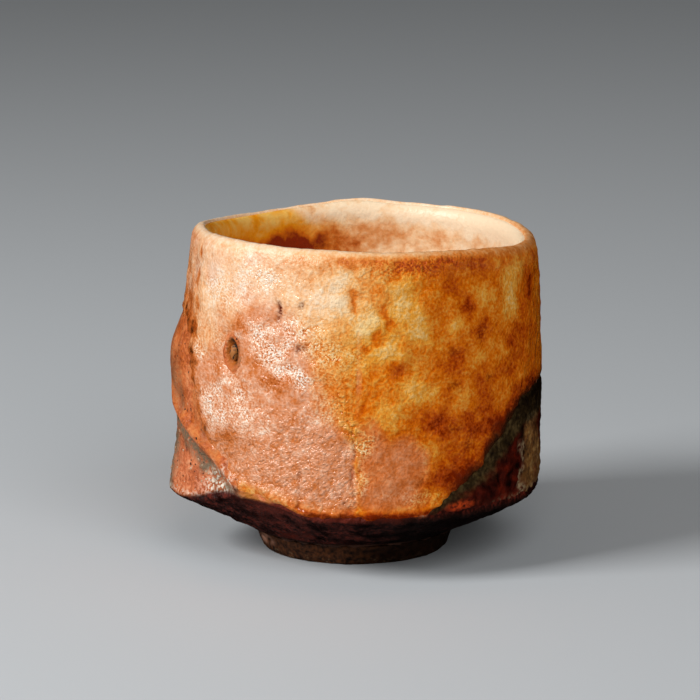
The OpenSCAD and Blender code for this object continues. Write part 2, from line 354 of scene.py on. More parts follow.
# A point lies in the scoop below the ridge or on the grip above it, with an uneven border at the far left
above_ridge = clay_z - ridge_z(clay_angle)
above_hip = clay_z - hip_z(clay_angle) - HIP_ROUND
on_left = within(clay_angle, LEFT)
ridge_noise = 1.6 * lumps(clay, 5, 56) * ease((RIDGE_EVEN - clay_angle) / 10)
scooped = on_left * ease((ridge_noise - above_ridge) / RIDGE_BLUR)
gripped = on_left * ease((above_ridge - ridge_noise) / RIDGE_BLUR)
# The burnt underside ends a little above the hip, higher at one bend. It reaches up over the whole cut.
# Its maroon is burnt clay, darkened towards black partly as painted shade
BURNT_UP = 0.9
BURNT_BEND = (1, 215, 12)
BURNT_CORNER = 0.7
BURNT_CUT = 14
CUT_FADE = 8
on_cut = ease((CUT_SIDE - np.abs(turn(clay_angle, CUT_AT))) / CUT_FADE)
at_front = within(clay_angle, AT_FRONT)
burnt_top = BURNT_UP * (1 - within(clay_angle, AT_ARCH) + at_front + mark(clay_angle, BURNT_BEND))
burnt_top = burnt_top - BURNT_CORNER * within(clay_angle, AT_CORNER) + BURNT_CUT * on_cut
beneath = ease((burnt_top - above_hip) / BURNT_UP)
# Grit stands out of the torn clay, the spatula dragged it along the ridge, and the grip is smoothed
along_wall = np.radians(clay_angle) * WALL_RADIUS
RIDGE_LEAN = math.atan(RIDGE_SLOPE / math.radians(1) / WALL_RADIUS)
along_drag = along_wall * math.cos(RIDGE_LEAN) - clay_z * math.sin(RIDGE_LEAN)
across_drag = along_wall * math.sin(RIDGE_LEAN) + clay_z * math.cos(RIDGE_LEAN)
rough = mix(0.35, 1, np.maximum(scooped, beneath))
clay_relief = 0.3 * lumps(clay, 11) + rough * (0.2 * lumps(clay, 2.1, 1) + 0.17 * lumps(clay, 1, 2))
clay_relief += 0.12 * streaks(along_drag, across_drag, 9, 0.9) * scooped
pit_across = np.radians(turn(clay_angle, PIT_AT)) * WALL_RADIUS / PIT_WIDE
pit_above = (clay_z - PIT_UP) / PIT_TALL
pit_gap = np.hypot(pit_across, pit_above) + 0.2 * lumps(clay, 1.2, 3)
clay_relief -= PIT_DEPTH * ease(1.5 * (1.15 - pit_gap)) * (clay_z > BELLY_HEIGHT)
recess_edge = ease((np.arange(len(clay)) - RECESS_ROWS) / RECESS_FADE)[:, None]
covered = np.arange(len(clay))[:, None] >= wall_to
clay = clay + outward(clay) * (clay_relief * recess_edge * ~covered)[..., None]

# Ash settled in a band under the ridge and all over the far left, and fire streaked the grip
ASH_BELOW = 2.8
ASH_HALF = 3
ASH_LEFT = 196
grip_streaks = streaks(along_wall, clay_z, 2.2, 18, 5)
ash_band = ease(1.4 - np.abs(above_ridge + ASH_BELOW) / ASH_HALF + 0.9 * lumps(clay, 3, 6))
ash_left = ease((ASH_LEFT - clay_angle) / 10 + 0.6 * lumps(clay, 4, 4))
# Ash melted to glass at the scoop's lower right, in a bead on the ridge and at the arch. Near white specks on
# the glass are painted highlights, and a pale line along the lower edge is a painted highlight
GLASS_GLINT_SPOT = (217, 2.6, 8, 5)
GLASS_GLINT_BEAD = (224, 19.9, 2, 1.6)
EDGE_HIGHLIGHT_SPAN = (184, 220, 6, 6)
AMBER_SPOT = (234, 0.8, 6, 3)
glass_and_glints = np.maximum(spot(clay_angle, above_hip, GLASS_GLINT_SPOT), spot(clay_angle, clay_z, GLASS_GLINT_BEAD))
edge_highlight = 0.5 * bell((above_hip - 0.4) / 0.8) * within(clay_angle, EDGE_HIGHLIGHT_SPAN)
amber_glass = ease(1.6 * spot(clay_angle, above_hip, AMBER_SPOT))
# The flame left orange along the ridge and the lower edge, and a red glow underneath at the front
FLASH_EDGE = (176, 214, 8, 6)
UNDER_GLOW = (1, 243, 26)
edge_flash = 0.9 * bell((above_hip - 0.1) / 1.2) * within(clay_angle, FLASH_EDGE)
ridge_flash = on_left * bell((above_ridge - 0.8) / 2.2) * (0.75 + 0.5 * lumps(clay, 1.8, 69)).clip(0, None)
ember_glow = mark(clay_angle, UNDER_GLOW) * ease(0.4 + 1.4 * lumps(clay, 4, 60))
front_glow = 0.9 * at_front * bell((above_hip - 0.6) / 1.5)
# Soot lies in the pit and at the arch. Underneath, from the front to the right, painted shade darkens the
# clay
ARCH_SOOT = (226, 16, 1.7, 1.2)
UNDER_SHADE_FROM = 258
UNDER_SHADE_TOP = 1.8
in_pit = ease(3 * (1.3 - pit_gap)) * (clay_z > BELLY_HEIGHT)
pit_soot = in_pit * ease(0.4 + pit_across + 0.5 * pit_above)
arch_soot = 0.9 * spot(clay_angle, clay_z, ARCH_SOOT, 0.3 * lumps(clay, 0.9, 70))
under_shade = 0.8 * beneath * ease(turn(clay_angle, UNDER_SHADE_FROM) / 34)
under_shade = under_shade * ease((HIP_HEIGHT + UNDER_SHADE_TOP - clay_z) / 1.2)
clay_fields = {
    "flash": gripped * (0.8 + 0.7 * grip_streaks) + ridge_flash + edge_flash,
    "ash": scooped * np.maximum(ash_band, ash_left) + 0.6 * gripped * ease(0.1 + 1.8 * grip_streaks),
    "glass_and_highlight": np.maximum(glass_and_glints, edge_highlight) * ease(0.75 + 1.4 * lumps(clay, 1.6, 17)),
    "amber": amber_glass * ease(0.62 + 1.2 * lumps(clay, 1.4, 71)),
    "pit": in_pit,
    "burnt_and_shaded": beneath,
    "ember": beneath * np.maximum(ember_glow, front_glow),
    "soot_and_shade": np.maximum(np.maximum(pit_soot, under_shade), arch_soot),
}
foot_middle = np.array([0, 0, SEAT_HEIGHT])
floor_middle = np.array([BOWL_OFFSET, 0, FLOOR_HEIGHT - FLOOR_DISH])
clay_body = capped_loft("clay_body_skin", clay, foot_middle, floor_middle, clay_fields)


def colour(code):
    """Linear colour of an sRGB hex value."""
    channels = [int(code[i : i + 2], 16) / 255 for i in (1, 3, 5)]
    return [c / 12.92 if c <= 0.04045 else ((c + 0.055) / 1.055) ** 2.4 for c in channels] + [1]


def per(size):
    """Texture scale of a pattern of that size in millimetres."""
    return 1 / (size * MM)


def add_node(tree, kind, inputs, stops=(), **settings):
    """Adds a shader node with its settings and any colour stops, and links or sets its inputs."""
    node = tree.nodes.new("ShaderNode" + kind)
    for name, value in settings.items():
        setattr(node, name, value)
    for i, (position, code) in enumerate(stops):
        elements = node.color_ramp.elements
        element = elements[i] if i < 2 else elements.new(position)
        element.position = position
        element.color = colour(code)
    for key, value in inputs.items():
        if isinstance(value, bpy.types.NodeSocket):
            tree.links.new(value, node.inputs[key])
        else:
            node.inputs[key].default_value = value
    return node.outputs


def new_material(name, fields=()):
    """An empty material, what adds its nodes, its point in the object's own space, and its mesh's fields."""
    material = bpy.data.materials.new(name)
    material.use_nodes = True
    material.node_tree.nodes.clear()
    add = functools.partial(add_node, material.node_tree)
    place = add("TexCoord", {})["Object"]
    values = {field: add("Attribute", {}, attribute_name=field)["Fac"] for field in fields}
    return material, add, place, values


# Wood-fired iron stoneware: brick red where it is torn, flashed orange where the flame licked it, dusted
# grey with ash, glassy where it melted, and burnt to maroon underneath. White feldspar and black iron
# specks show in it. Near white painted highlights lie on the melted ash, the maroon is partly painted
# shade, and painted shade darkens the underside near black from the front to the right.
BRICK_TONES = [(0.3, "#7a3218"), (0.5, "#cc6e40"), (0.7, "#e49c70")]
FLASH_TONES = [(0.3, "#86360f"), (0.5, "#c66224"), (0.7, "#dc8440")]
# Maroon of burnt clay, its darkest tones partly painted shade
MAROON_SHADE_TONES = [(0.36, "#1a0301"), (0.5, "#360b03"), (0.64, "#701f08")]
ASH_GREY = "#77634c"
# Near white for the painted highlights on the melted ash
GLASS_AND_GLINT_WHITE = "#fbeeda"
GLASS_AMBER = "#a86418"
PIT_OCHRE = "#b4611c"
# Near black for soot in the pit and at the arch, and for the painted shade underneath
SOOT_AND_SHADE_BLACK = "#170c07"
EMBER_RED = "#661c08"
SPECK_WHITE = "#d0b496"
SPECK_BLACK = "#43271b"
GRIT = 0.7
CLOUD = 4
SPECK = 0.7
SPECK_WOBBLE = 0.4
SPECK_SHIFT = 0.35
WHITE_ABOVE = 0.92
BLACK_ABOVE = 0.93
stoneware, add, place, field = new_material("wood_fired_iron_stoneware", clay_fields)
grit = add("TexNoise", {"Vector": place, "Scale": per(GRIT), "Detail": 4})["Fac"]
cloud = add("TexNoise", {"Vector": place, "Scale": per(CLOUD), "Detail": 4})["Fac"]
flame = add("Math", {0: grit, 1: cloud}, operation="ADD")[0]
flame = add("Math", {0: flame, 1: 0.5}, operation="MULTIPLY")[0]
brick = add("ValToRGB", {0: flame}, BRICK_TONES)[0]
flashed = add("ValToRGB", {0: flame}, FLASH_TONES)[0]
maroon_and_shade = add("ValToRGB", {0: flame}, MAROON_SHADE_TONES)[0]
wobble = add("TexNoise", {"Vector": place, "Scale": per(SPECK_WOBBLE), "Detail": 1})["Color"]
shift = [SPECK_SHIFT * MM] * 3
uneven = add("VectorMath", {0: wobble, 1: shift, 2: place}, operation="MULTIPLY_ADD")[0]
specks = add("TexVoronoi", {"Vector": uneven, "Scale": per(SPECK)})
kind = add("SeparateColor", {0: specks["Color"]})
core = add("Math", {0: kind["Blue"], 1: 0.2, 2: specks["Distance"]}, operation="MULTIPLY_ADD")[0]
core = add("MapRange", {0: core, 1: 0.44, 2: 0.3})[0]
white = add("Math", {0: kind["Red"], 1: WHITE_ABOVE}, operation="GREATER_THAN")[0]
white = add("Math", {0: core, 1: white}, operation="MULTIPLY")[0]
black = add("Math", {0: kind["Green"], 1: BLACK_ABOVE}, operation="GREATER_THAN")[0]
black = add("Math", {0: core, 1: black}, operation="MULTIPLY")[0]
painted_glint = add("MapRange", {0: grit, 1: 0.47, 2: 0.53, 4: field["glass_and_highlight"]})[0]
dusty = add("MapRange", {0: grit, 1: 0.28, 2: 0.52, 4: field["ash"]})[0]
layers = [
    (white, colour(SPECK_WHITE)),
    (field["flash"], flashed),
    (dusty, colour(ASH_GREY)),
    (black, colour(SPECK_BLACK)),
    (field["amber"], colour(GLASS_AMBER)),
    (painted_glint, colour(GLASS_AND_GLINT_WHITE)),
    (field["pit"], colour(PIT_OCHRE)),
    (field["burnt_and_shaded"], maroon_and_shade),
    (field["ember"], colour(EMBER_RED)),
    (field["soot_and_shade"], colour(SOOT_AND_SHADE_BLACK)),
]
shade = brick
for share, layer in layers:
    shade = add("Mix", {0: share, 6: shade, 7: layer}, data_type="RGBA")[2]
gloss = add("MapRange", {0: cloud, 1: 0.35, 2: 0.65, 3: 0.3, 4: 0.65})[0]
gloss = add("Math", {0: field["glass_and_highlight"], 1: -0.35, 2: gloss}, operation="MULTIPLY_ADD")[0]
gloss = add("Math", {0: field["burnt_and_shaded"], 1: 0.25, 2: gloss}, operation="MULTIPLY_ADD")[0]
bump = add("Bump", {"Height": grit, "Distance": 0.5 * MM, "Strength": 1})["Normal"]
finish = add(
    "BsdfPrincipled",
    {"Base Color": shade, "Roughness": gloss, "IOR": 1.5, "Specular IOR Level": 0.3, "Normal": bump},
)[0]
add("OutputMaterial", {"Surface": finish})
clay_body.data.materials.append(stoneware)
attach(clay_body, "root")
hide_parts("clay_body")


# Foot ring
# A low ring of the same clay, turned to a flat land and luted under the bowl. Its edges are chipped
# and coarse sand from the kiln shelf has stuck along the bottom.
FOOT_RADIUS = 17.6
FOOT_LAND = 4.6
FOOT_INSIDE = FOOT_RADIUS - FOOT_LAND
FOOT_CHAMFER = 0.5
CHIP = 0.9
TOUCH = 0.01
foot_profile = [
    ((FOOT_INSIDE + FOOT_CHAMFER, 0), 12),
    ((FOOT_RADIUS - FOOT_CHAMFER, 0), 3),
    ((FOOT_RADIUS, FOOT_CHAMFER), 12),
    ((FOOT_TOP, FOOT_HEIGHT), 10),
    ((FOOT_INSIDE, FOOT_HEIGHT), 10),
    ((FOOT_INSIDE, FOOT_CHAMFER), 3),
]


def ring_rows(profile):
    """Rows of points round a ring, from the corners of its section and the rows from each to the next."""
    corners = [point for point, rows in profile]
    ring = []
    for (near, rows), far in zip(profile, corners[1:] + corners[:1]):
        for share in np.linspace(0, 1, rows, endpoint=False):
            ring.append(on_cup(angles, mix(near[0], far[0], share), mix(near[1], far[1], share), 0))
    return np.concatenate(ring)


def ring_faces(ring):
    rows, columns = ring.shape[:2]
    return (grid_faces(rows + 1, columns).reshape(-1, 4) % (rows * columns)).tolist()


foot = ring_rows(foot_profile)
foot_angle = bearings(foot, 0)
foot_edge = bell((foot[..., 2] - 0.2) / 1.6)
foot_relief = 0.3 * lumps(foot, 4, 7) + 0.16 * lumps(foot, 1.5, 8) + 0.08 * lumps(foot, 0.8, 6)
foot_relief -= CHIP * foot_edge * ease(1.6 * lumps(foot, 4, 9) - 0.2)
standing = foot[..., 2] < TOUCH
seated = foot[..., 2] > FOOT_HEIGHT - TOUCH
away = foot - on_cup(angles, FOOT_RADIUS - FOOT_LAND / 2, FOOT_HEIGHT / 2, 0)
away = away / np.linalg.norm(away, axis=-1, keepdims=True)
foot = foot + away * (foot_relief * ~(standing | seated))[..., None]
foot[..., 2] = np.clip(foot[..., 2], 0, FOOT_HEIGHT)
# A flake has come off at the left, and the right side is darkened near black as painted shade
FLAKE_AT = 203
FLAKE_UP = 2.6
FOOT_SHADE_FROM = 255
flake = bell(np.hypot(turn(foot_angle, FLAKE_AT) / 16, (foot[..., 2] - FLAKE_UP) / 1.6))
foot_fields = {
    "sand": foot_edge * ease(0.4 + 1.2 * lumps(foot, 2.5, 5)),
    "bare": flake * ease(0.7 + 1.4 * lumps(foot, 1.6, 61)),
    "soot_and_shade": 0.75 * ease(turn(foot_angle, FOOT_SHADE_FROM) / 40),
}
foot_ring = new_piece("foot_ring_skin", foot, ring_faces(foot), foot_fields)

# Coarse stoneware burnt dark brown, with tan kiln sand sintered to its lower edge and pink clay in the flake.
# Its right side is near black as painted shade
FOOT_BROWN = "#663614"
FOOT_DARK = "#0f0704"
SAND_TAN = "#8a6c4c"
BARE_PINK = "#b98268"
FOOT_GRIT = 0.8
SAND = 0.6
dark_stoneware, add, place, field = new_material("burnt_sandy_stoneware", foot_fields)
grit = add("TexNoise", {"Vector": place, "Scale": per(FOOT_GRIT), "Detail": 5})["Fac"]
grains = add("TexVoronoi", {"Vector": place, "Scale": per(SAND)})
sandy = add("MapRange", {0: grains["Distance"], 1: 0.5, 2: 0.25, 4: field["sand"]})[0]
worn = add("MapRange", {0: grit, 1: 0.3, 2: 0.75})[0]
layers = [
    (worn, colour(FOOT_BROWN)),
    (sandy, colour(SAND_TAN)),
    (field["bare"], colour(BARE_PINK)),
    (field["soot_and_shade"], colour(FOOT_DARK)),
]
shade = colour(FOOT_DARK)
for share, layer in layers:
    shade = add("Mix", {0: share, 6: shade, 7: layer}, data_type="RGBA")[2]
bump = add("Bump", {"Height": grit, "Distance": 0.25 * MM, "Strength": 1})["Normal"]
finish = add(
    "BsdfPrincipled",
    {"Base Color": shade, "Roughness": 0.75, "IOR": 1.5, "Specular IOR Level": 0.25, "Normal": bump},
)[0]
add("OutputMaterial", {"Surface": finish})
foot_ring.data.materials.append(dark_stoneware)
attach(foot_ring, "root")
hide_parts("foot_ring")


# Luting slip
# A paste of the same clay, which fired hard in the joint of the foot and the bowl. What was squeezed
# out when the foot was pressed on stayed in the groove as a rough bead.
SLIP_INSET = 0.6
SLIP_BELLY = 0.2
BEAD = 0.5
slip_profile = [
    ((FOOT_INSIDE + SLIP_INSET, FOOT_HEIGHT), 6),
    ((FOOT_TOP - SLIP_INSET, FOOT_HEIGHT), 4),
    ((FOOT_TOP - SLIP_BELLY, FOOT_HEIGHT + SLIP / 2), 4),
    ((FOOT_TOP - SLIP_INSET, SEAT_HEIGHT), 6),
    ((FOOT_INSIDE + SLIP_INSET, SEAT_HEIGHT), 2),
]
slip = ring_rows(slip_profile)
slip_out = np.hypot(slip[..., 0], slip[..., 1])
squeezed = 0.2 + ease(0.4 + 1.4 * lumps(slip, 3, 51)) + 0.4 * lumps(slip, 0.9, 52)
squeezed = squeezed * ease((slip_out - FOOT_TOP + 1) / 0.6)
level_out = slip * (1, 1, 0) / slip_out[..., None]
upright = np.sign(slip[..., 2:] - FOOT_HEIGHT - SLIP / 2) * (0, 0, 1)
slip = slip + BEAD * squeezed[..., None] * (level_out + 0.5 * upright)
luting_slip = new_piece("luting_slip_skin", slip, ring_faces(slip), {})

# Fired clay paste: dull brown, crumbly
SLIP_BROWN = "#5e3420"
SLIP_DARK = "#1e0f09"
CRUMB = 0.8
fired_slip, add, place, field = new_material("fired_clay_slip")
grit = add("TexNoise", {"Vector": place, "Scale": per(CRUMB), "Detail": 4})["Fac"]
shade = add("Mix", {0: grit, 6: colour(SLIP_DARK), 7: colour(SLIP_BROWN)}, data_type="RGBA")[2]
bump = add("Bump", {"Height": grit, "Distance": 0.1 * MM, "Strength": 1})["Normal"]
finish = add("BsdfPrincipled", {"Base Color": shade, "Roughness": 0.85, "IOR": 1.5, "Normal": bump})[0]
add("OutputMaterial", {"Surface": finish})
luting_slip.data.materials.append(fired_slip)
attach(luting_slip, "root")
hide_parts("luting_slip")


# Feldspar grains
# White stones of the coarse clay that stand half out of the torn scoop. The fire has begun to melt
# them, so their corners are round and they shine a little.
GRAIN_COUNT = 14
GRAIN_RADIUS = 0.5
GRAIN_FROM = 184
GRAIN_SPAN = 36
GRAIN_LIFT = 2.5
GRAIN_SPREAD = 0.4
GRAIN_SINK = 0.7
GOLDEN = 0.618
STONE_SEED = 10


def stone(middle, radius, seed, tall):
    """Points and faces of one angular stone, stretched upright by a factor."""
    mesh = bmesh.new()
    bmesh.ops.create_icosphere(mesh, subdivisions=3, radius=1)
    points = np.array([vertex.co for vertex in mesh.verts])
    faces = np.array([[vertex.index for vertex in face.verts] for face in mesh.faces])
    mesh.free()
    corners = 0.35 * np.abs(lumps(points, 0.9, seed)) + 0.12 * lumps(points, 0.35, seed + 1)
    return middle + points * (1, 1, tall) * (radius * (1.05 - corners))[:, None], faces


def stones(name, places, tall=1):
    """One piece of several stones, each given as its middle and radius."""
    points, faces = [], []
    for seed, (middle, radius) in enumerate(places, STONE_SEED):
        new_points, new_faces = stone(middle, radius, seed, tall)
        faces += (new_faces + sum(len(part) for part in points)).tolist()
        points.append(new_points)
    return new_piece(name, np.concatenate(points), faces, {})


grain_places = []
for i in range(GRAIN_COUNT):
    share = i * GOLDEN % 1
    bearing = GRAIN_FROM + GRAIN_SPAN * share
    low = hip_z(bearing) + HIP_ROUND + GRAIN_LIFT
    up = mix(low, ridge_z(bearing) - GRAIN_LIFT, (i + 0.5) / GRAIN_COUNT)
    radius = GRAIN_RADIUS * (1 - GRAIN_SPREAD * share)
    spread = np.linalg.norm(clay - on_cup(bearing, clay_radius(bearing, up), up), axis=-1)
    nearest = np.unravel_index(np.argmin(spread), spread.shape)
    grain_places.append((clay[nearest] - GRAIN_SINK * radius * outward(clay)[nearest], radius))
feldspar_grains = stones("feldspar_grains_skin", grain_places)

# Half-melted feldspar: milky white with warm hollows
FELDSPAR_WHITE = "#d2b496"
FELDSPAR_WARM = "#96623c"
MILK = 0.5
feldspar, add, place, field = new_material("half_melted_feldspar")
milk = add("TexNoise", {"Vector": place, "Scale": per(MILK), "Detail": 3})["Fac"]
shade = add("Mix", {0: milk, 6: colour(FELDSPAR_WARM), 7: colour(FELDSPAR_WHITE)}, data_type="RGBA")[2]
finish = add("BsdfPrincipled", {"Base Color": shade, "Roughness": 0.3, "IOR": 1.53})[0]
add("OutputMaterial", {"Surface": finish})
feldspar_grains.data.materials.append(feldspar)
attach(feldspar_grains, "root")
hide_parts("feldspar_grains")


# Burst stone
# An ochre stone of the clay that burst in the fire and threw off the glaze over it. What is left is
# fused to the bottom of its pit.
STONE_RADIUS = 1
STONE_TALL = 1.6
STONE_LIFT = 0.5
STONE_ASIDE = 0.5
STONE_DOWN = 0.2
stone_out = clay_radius(PIT_AT, PIT_UP) - PIT_DEPTH + STONE_LIFT
stone_middle = on_cup(PIT_AT - STONE_ASIDE, stone_out, PIT_UP - STONE_DOWN)
burst_stone = stones("burst_stone_skin", [(stone_middle, STONE_RADIUS)], STONE_TALL)

# Burnt stone: ochre and brown, dull
OCHRE = "#a8662a"
BURNT_BROWN = "#24120a"
BURN = 0.9
burnt_stone, add, place, field = new_material("burnt_ochre_stone")
burn = add("TexNoise", {"Vector": place, "Scale": per(BURN), "Detail": 4})["Fac"]
worn = add("MapRange", {0: burn, 1: 0.4, 2: 0.5}, interpolation_type="SMOOTHSTEP")[0]
shade = add("Mix", {0: worn, 6: colour(BURNT_BROWN), 7: colour(OCHRE)}, data_type="RGBA")[2]
finish = add("BsdfPrincipled", {"Base Color": shade, "Roughness": 0.7, "IOR": 1.5})[0]
add("OutputMaterial", {"Surface": finish})
burst_stone.data.materials.append(burnt_stone)
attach(burst_stone, "root")
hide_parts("burst_stone")


# Lining glaze
# A feldspar glaze poured round the inside and out again, so that it is thin on the lip and thicker
# on the floor. Faint finger rings show through it.
LINING = 0.4
LINING_START = -0.1
LINING_SUNK = 0.15
LINING_LIP = 78
RING_PITCH = 5
# The hidden back of the lining takes every so many rows of its front
BACK_STEP = 12
lining_rows = [
    on_cup(angles, *lip_rows(angles, steps(LINING_LIP, 180, 12))),
    on_cup(angles, *inner_rows(angles, steps(0, 1, 84))),
    on_cup(angles, *corner_rows(angles, steps(0, 90, 36))),
    on_cup(angles, *floor_rows(angles, steps(0, 0.96, 24))),
]
bowl_skin = np.concatenate(lining_rows)
bowl_out = outward(bowl_skin)
bowl_angle = bearings(bowl_skin)
bowl_z = bowl_skin[..., 2]
below_rim = rim_z(bowl_angle) - bowl_z
start = ease(np.arange(len(bowl_skin)) / 5)[:, None]
rings = np.sin(2 * np.pi * (bowl_z / RING_PITCH + bowl_angle / 360)) * ease((below_rim - 6) / 6)
lining_relief = 0.06 * rings + 0.25 * lumps(bowl_skin, 8, 20) + 0.08 * lumps(bowl_skin, 2.5, 21)
lining_depth = mix(LINING_START, LINING, start) + lining_relief * ease(below_rim / 4)
lining_top = bowl_skin + bowl_out * lining_depth[..., None]
lining_back = (bowl_skin - LINING_SUNK * bowl_out)[::-BACK_STEP]
lining = np.concatenate([lining_back, lining_top])
lining_angle = np.concatenate([bowl_angle[::-BACK_STEP], bowl_angle])
lining_below = np.concatenate([below_rim[::-BACK_STEP], below_rim])
# Red patches where the glaze is thin: strength, bearing, depth below the rim, half width, half height
RED_PATCHES = [
    (0.32, 118, 5.5, 6.37, 4), (0.34, 112, 8, 5.21, 4), (0.4, 130, 7.5, 6.37, 4), (0.36, 145, 7.5, 5.79, 4),
    (0.2, 126, 8, 8.11, 5), (0.2, 100, 8, 8.11, 4), (0.4, 113, 6.8, 1.16, 1.2),
]
# The glaze is cream towards the lip, and gold on the left under a slanting line. The right side is paler,
# partly as painted light where the key lamp falls on the inside
PALE_LIT_SIDE = (0.38, 35, 84)
GOLD_SIDE = (1.6, 155, 75)
patch_edge = 0.3 * lumps(lining, 2, 19)
red_patch = sum(
    strength * spot(lining_angle, lining_below, shape, patch_edge) for strength, *shape in RED_PATCHES
)
lining_level = 0.36 + 0.42 * ease((6 - lining_below) / 4) + mark(lining_angle, PALE_LIT_SIDE) - red_patch
lining_level += 0.24 * lumps(lining, 4, 22) + 0.18 * lumps(lining, 1.8, 23) - 0.12 * lumps(lining, 1.6, 24)
gold_top = mix(2, -1.6, ease((lining_angle - 108) / 14))
gold_down = ease((lining_below - gold_top) / 2) * ease((40 - lining_below) / 26)
lining_fields = {"level": lining_level, "gold": ease(mark(lining_angle, GOLD_SIDE)) * gold_down}
lining_under = floor_middle - (0, 0, LINING_SUNK)
lining_glaze = capped_loft(
    "lining_glaze_skin", lining, lining_under, floor_middle + (0, 0, LINING), lining_fields
)

# Satin feldspar glaze over iron clay: cream where thick, rust where thin, amber gold where ash fell
LINING_TONES = [(0.05, "#6e2410"), (0.3, "#b85e22"), (0.52, "#da9358"), (0.75, "#f0c494"), (1, "#f8deba")]
GOLD_TONES = [(0, "#8a2600"), (0.3, "#d46c00"), (0.6, "#ee9808"), (0.95, "#f2c060")]
LINING_GRAIN = 0.9
lining_coat, add, place, field = new_material("poured_feldspar_glaze", lining_fields)
grain = add("TexNoise", {"Vector": place, "Scale": per(LINING_GRAIN), "Detail": 4})["Fac"]
tone = add("Math", {0: grain, 1: -0.5}, operation="ADD")[0]
tone = add("Math", {0: tone, 1: 0.5, 2: field["level"]}, operation="MULTIPLY_ADD")[0]
cream_shade = add("ValToRGB", {0: tone}, LINING_TONES)[0]
gold_shade = add("ValToRGB", {0: tone}, GOLD_TONES)[0]
shade = add("Mix", {0: field["gold"], 6: cream_shade, 7: gold_shade}, data_type="RGBA")[2]
gloss = add("MapRange", {0: field["gold"], 3: 0.35, 4: 0.6})[0]
bump = add("Bump", {"Height": grain, "Distance": 0.15 * MM, "Strength": 1})["Normal"]
finish = add(
    "BsdfPrincipled",
    {"Base Color": shade, "Roughness": gloss, "IOR": 1.52, "Specular IOR Level": 0.35, "Normal": bump},
)[0]
add("OutputMaterial", {"Surface": finish})
lining_glaze.data.materials.append(lining_coat)
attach(lining_glaze, "root")
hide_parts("lining_glaze")


# Outer glaze
# The same feldspar glaze, thick on the outside. It stops short of the grip, the cut and the lower
# edge, and the flame has flashed it from cream above to orange, rust and pink below.
GLAZE = 0.5
GLAZE_GAP = 0.8
SUNK = 0.15
# The bare grip's edge rises from the back and falls towards the ridge's end, as bearings and shares of
# the grip's height
GRIP_BACK = 126
GRIP_BACK_FADE = 46
GRIP_EDGE = [
    (194, 1), (200, 0.91), (203, 0.82), (205.5, 0.66), (209, 0.555), (214, 0.495), (220, 0.44), (226, 0.38),
    (230, 0.32), (234, 0),
]
# The cut's upper edge, as bearings (past 360 behind the right side) and heights above the lower edge
CUT_EDGE = [
    (285, 0), (290, 1.2), (295, 2.4), (300, 3.8), (306, 5), (312, 7.4), (318, 11.4), (327, 15.8), (332, 18),
    (340, 18.6), (365, 19), (385, 18), (410, 11), (425, 6), (440, 0),
]
wall = clay[wall_from:wall_to]
wall_out = outward(wall)
wall_angle = clay_angle[wall_from:wall_to]
wall_z = np.concatenate(outside)[..., 2]
wall_along = along_wall[wall_from:wall_to]
crest_share = np.concatenate([np.zeros(WALL_ROWS), lip_degrees.ravel() / CREST])[:, None]


def line_through(places, angle):
    """Heights at some bearings of a line through places, which are bearings and heights."""
    return np.interp(angle, *np.transpose(places))


def above_line(line):
    """Distance of the wall's points above a line round the cup, in millimetres."""
    slope = np.gradient(line[0], np.radians(angles[0]) * WALL_RADIUS)
    return (wall_z - line) / np.hypot(1, slope)


def coat(name, depth, fields):
    """A closed skin on the wall from its depth at each point, left out where it sinks into the clay."""
    rows, columns = depth.shape
    count = rows * columns
    top = wall + wall_out * depth[..., None]
    back = wall - wall_out * (SUNK + 0.05)
    sunk = depth < -0.8 * SUNK
    sunk = sunk & np.roll(sunk, -1, axis=1)
    cells = grid_faces(rows, columns)[~(sunk[:-1] & sunk[1:])]
    edges = np.stack([cells, np.roll(cells, -1, axis=1)], axis=-1).reshape(-1, 2)
    there = edges[:, 0] * count + edges[:, 1]
    opposite = edges[:, 1] * count + edges[:, 0]
    rim = edges[~np.isin(opposite, there)]
    sides = np.stack([rim[:, 1], rim[:, 0], rim[:, 0] + count, rim[:, 1] + count], axis=-1)
    faces = np.concatenate([cells, cells[:, ::-1] + count, sides])
    used, faces = np.unique(faces, return_inverse=True)
    points = np.concatenate([top.reshape(-1, 3), back.reshape(-1, 3)])[used]
    kept_fields = {field: np.tile(values.ravel(), 2)[used] for field, values in fields.items()}
    return new_piece(name, points, faces.reshape(-1, 4).tolist(), kept_fields)


lower_edge = hip_z(angles) + HIP_ROUND
lower_line = lower_edge + GLAZE_GAP
grip_line = GRIP_TOP * ease((angles - GRIP_BACK) / GRIP_BACK_FADE) * line_through(GRIP_EDGE, angles)
cut_line = lower_edge + line_through(CUT_EDGE, (angles - 180) % 360 + 180)
glaze_line = np.maximum(np.maximum(lower_line, grip_line), cut_line)
above_lower = above_line(lower_line)
above_cut = above_line(cut_line)

# The glaze's edge wanders, most of all at the back and above the grip. It thins out slowly at the cut and
# at the grip, and elsewhere it rolls up
NEAR_ARCH = (222, 252, 6, 8)
NEAR_GRIP = (180, 240, 6, 6)
OVER_GRIP = (196, 226, 4, 8)
CUT_LAP = (0.9, 322, 16)
CUT_INSET = 4
CUT_BLUR = 12
BACK_BEFORE = 196
BACK_AFTER = 342
arch_near = within(wall_angle, NEAR_ARCH)
cut_near = ease((CUT_SIDE - CUT_INSET - np.abs(turn(wall_angle, CUT_AT))) / CUT_BLUR)
grip_near = within(wall_angle, NEAR_GRIP) * ease((60 - wall_z) / 10)
at_back = ease((BACK_BEFORE - wall_angle) / 8) + ease((wall_angle - BACK_AFTER) / 8)
ragged = 0.6 * lumps(wall, 4, 30) + 0.6 * lumps(wall, 1.4, 31) * (1 - 0.8 * arch_near)
ragged += 1.6 * lumps(wall, 6, 55) * at_back
ragged += 1.3 * lumps(wall, 2.4, 67) * within(wall_angle, OVER_GRIP) * ease((50 - wall_z) / 6)
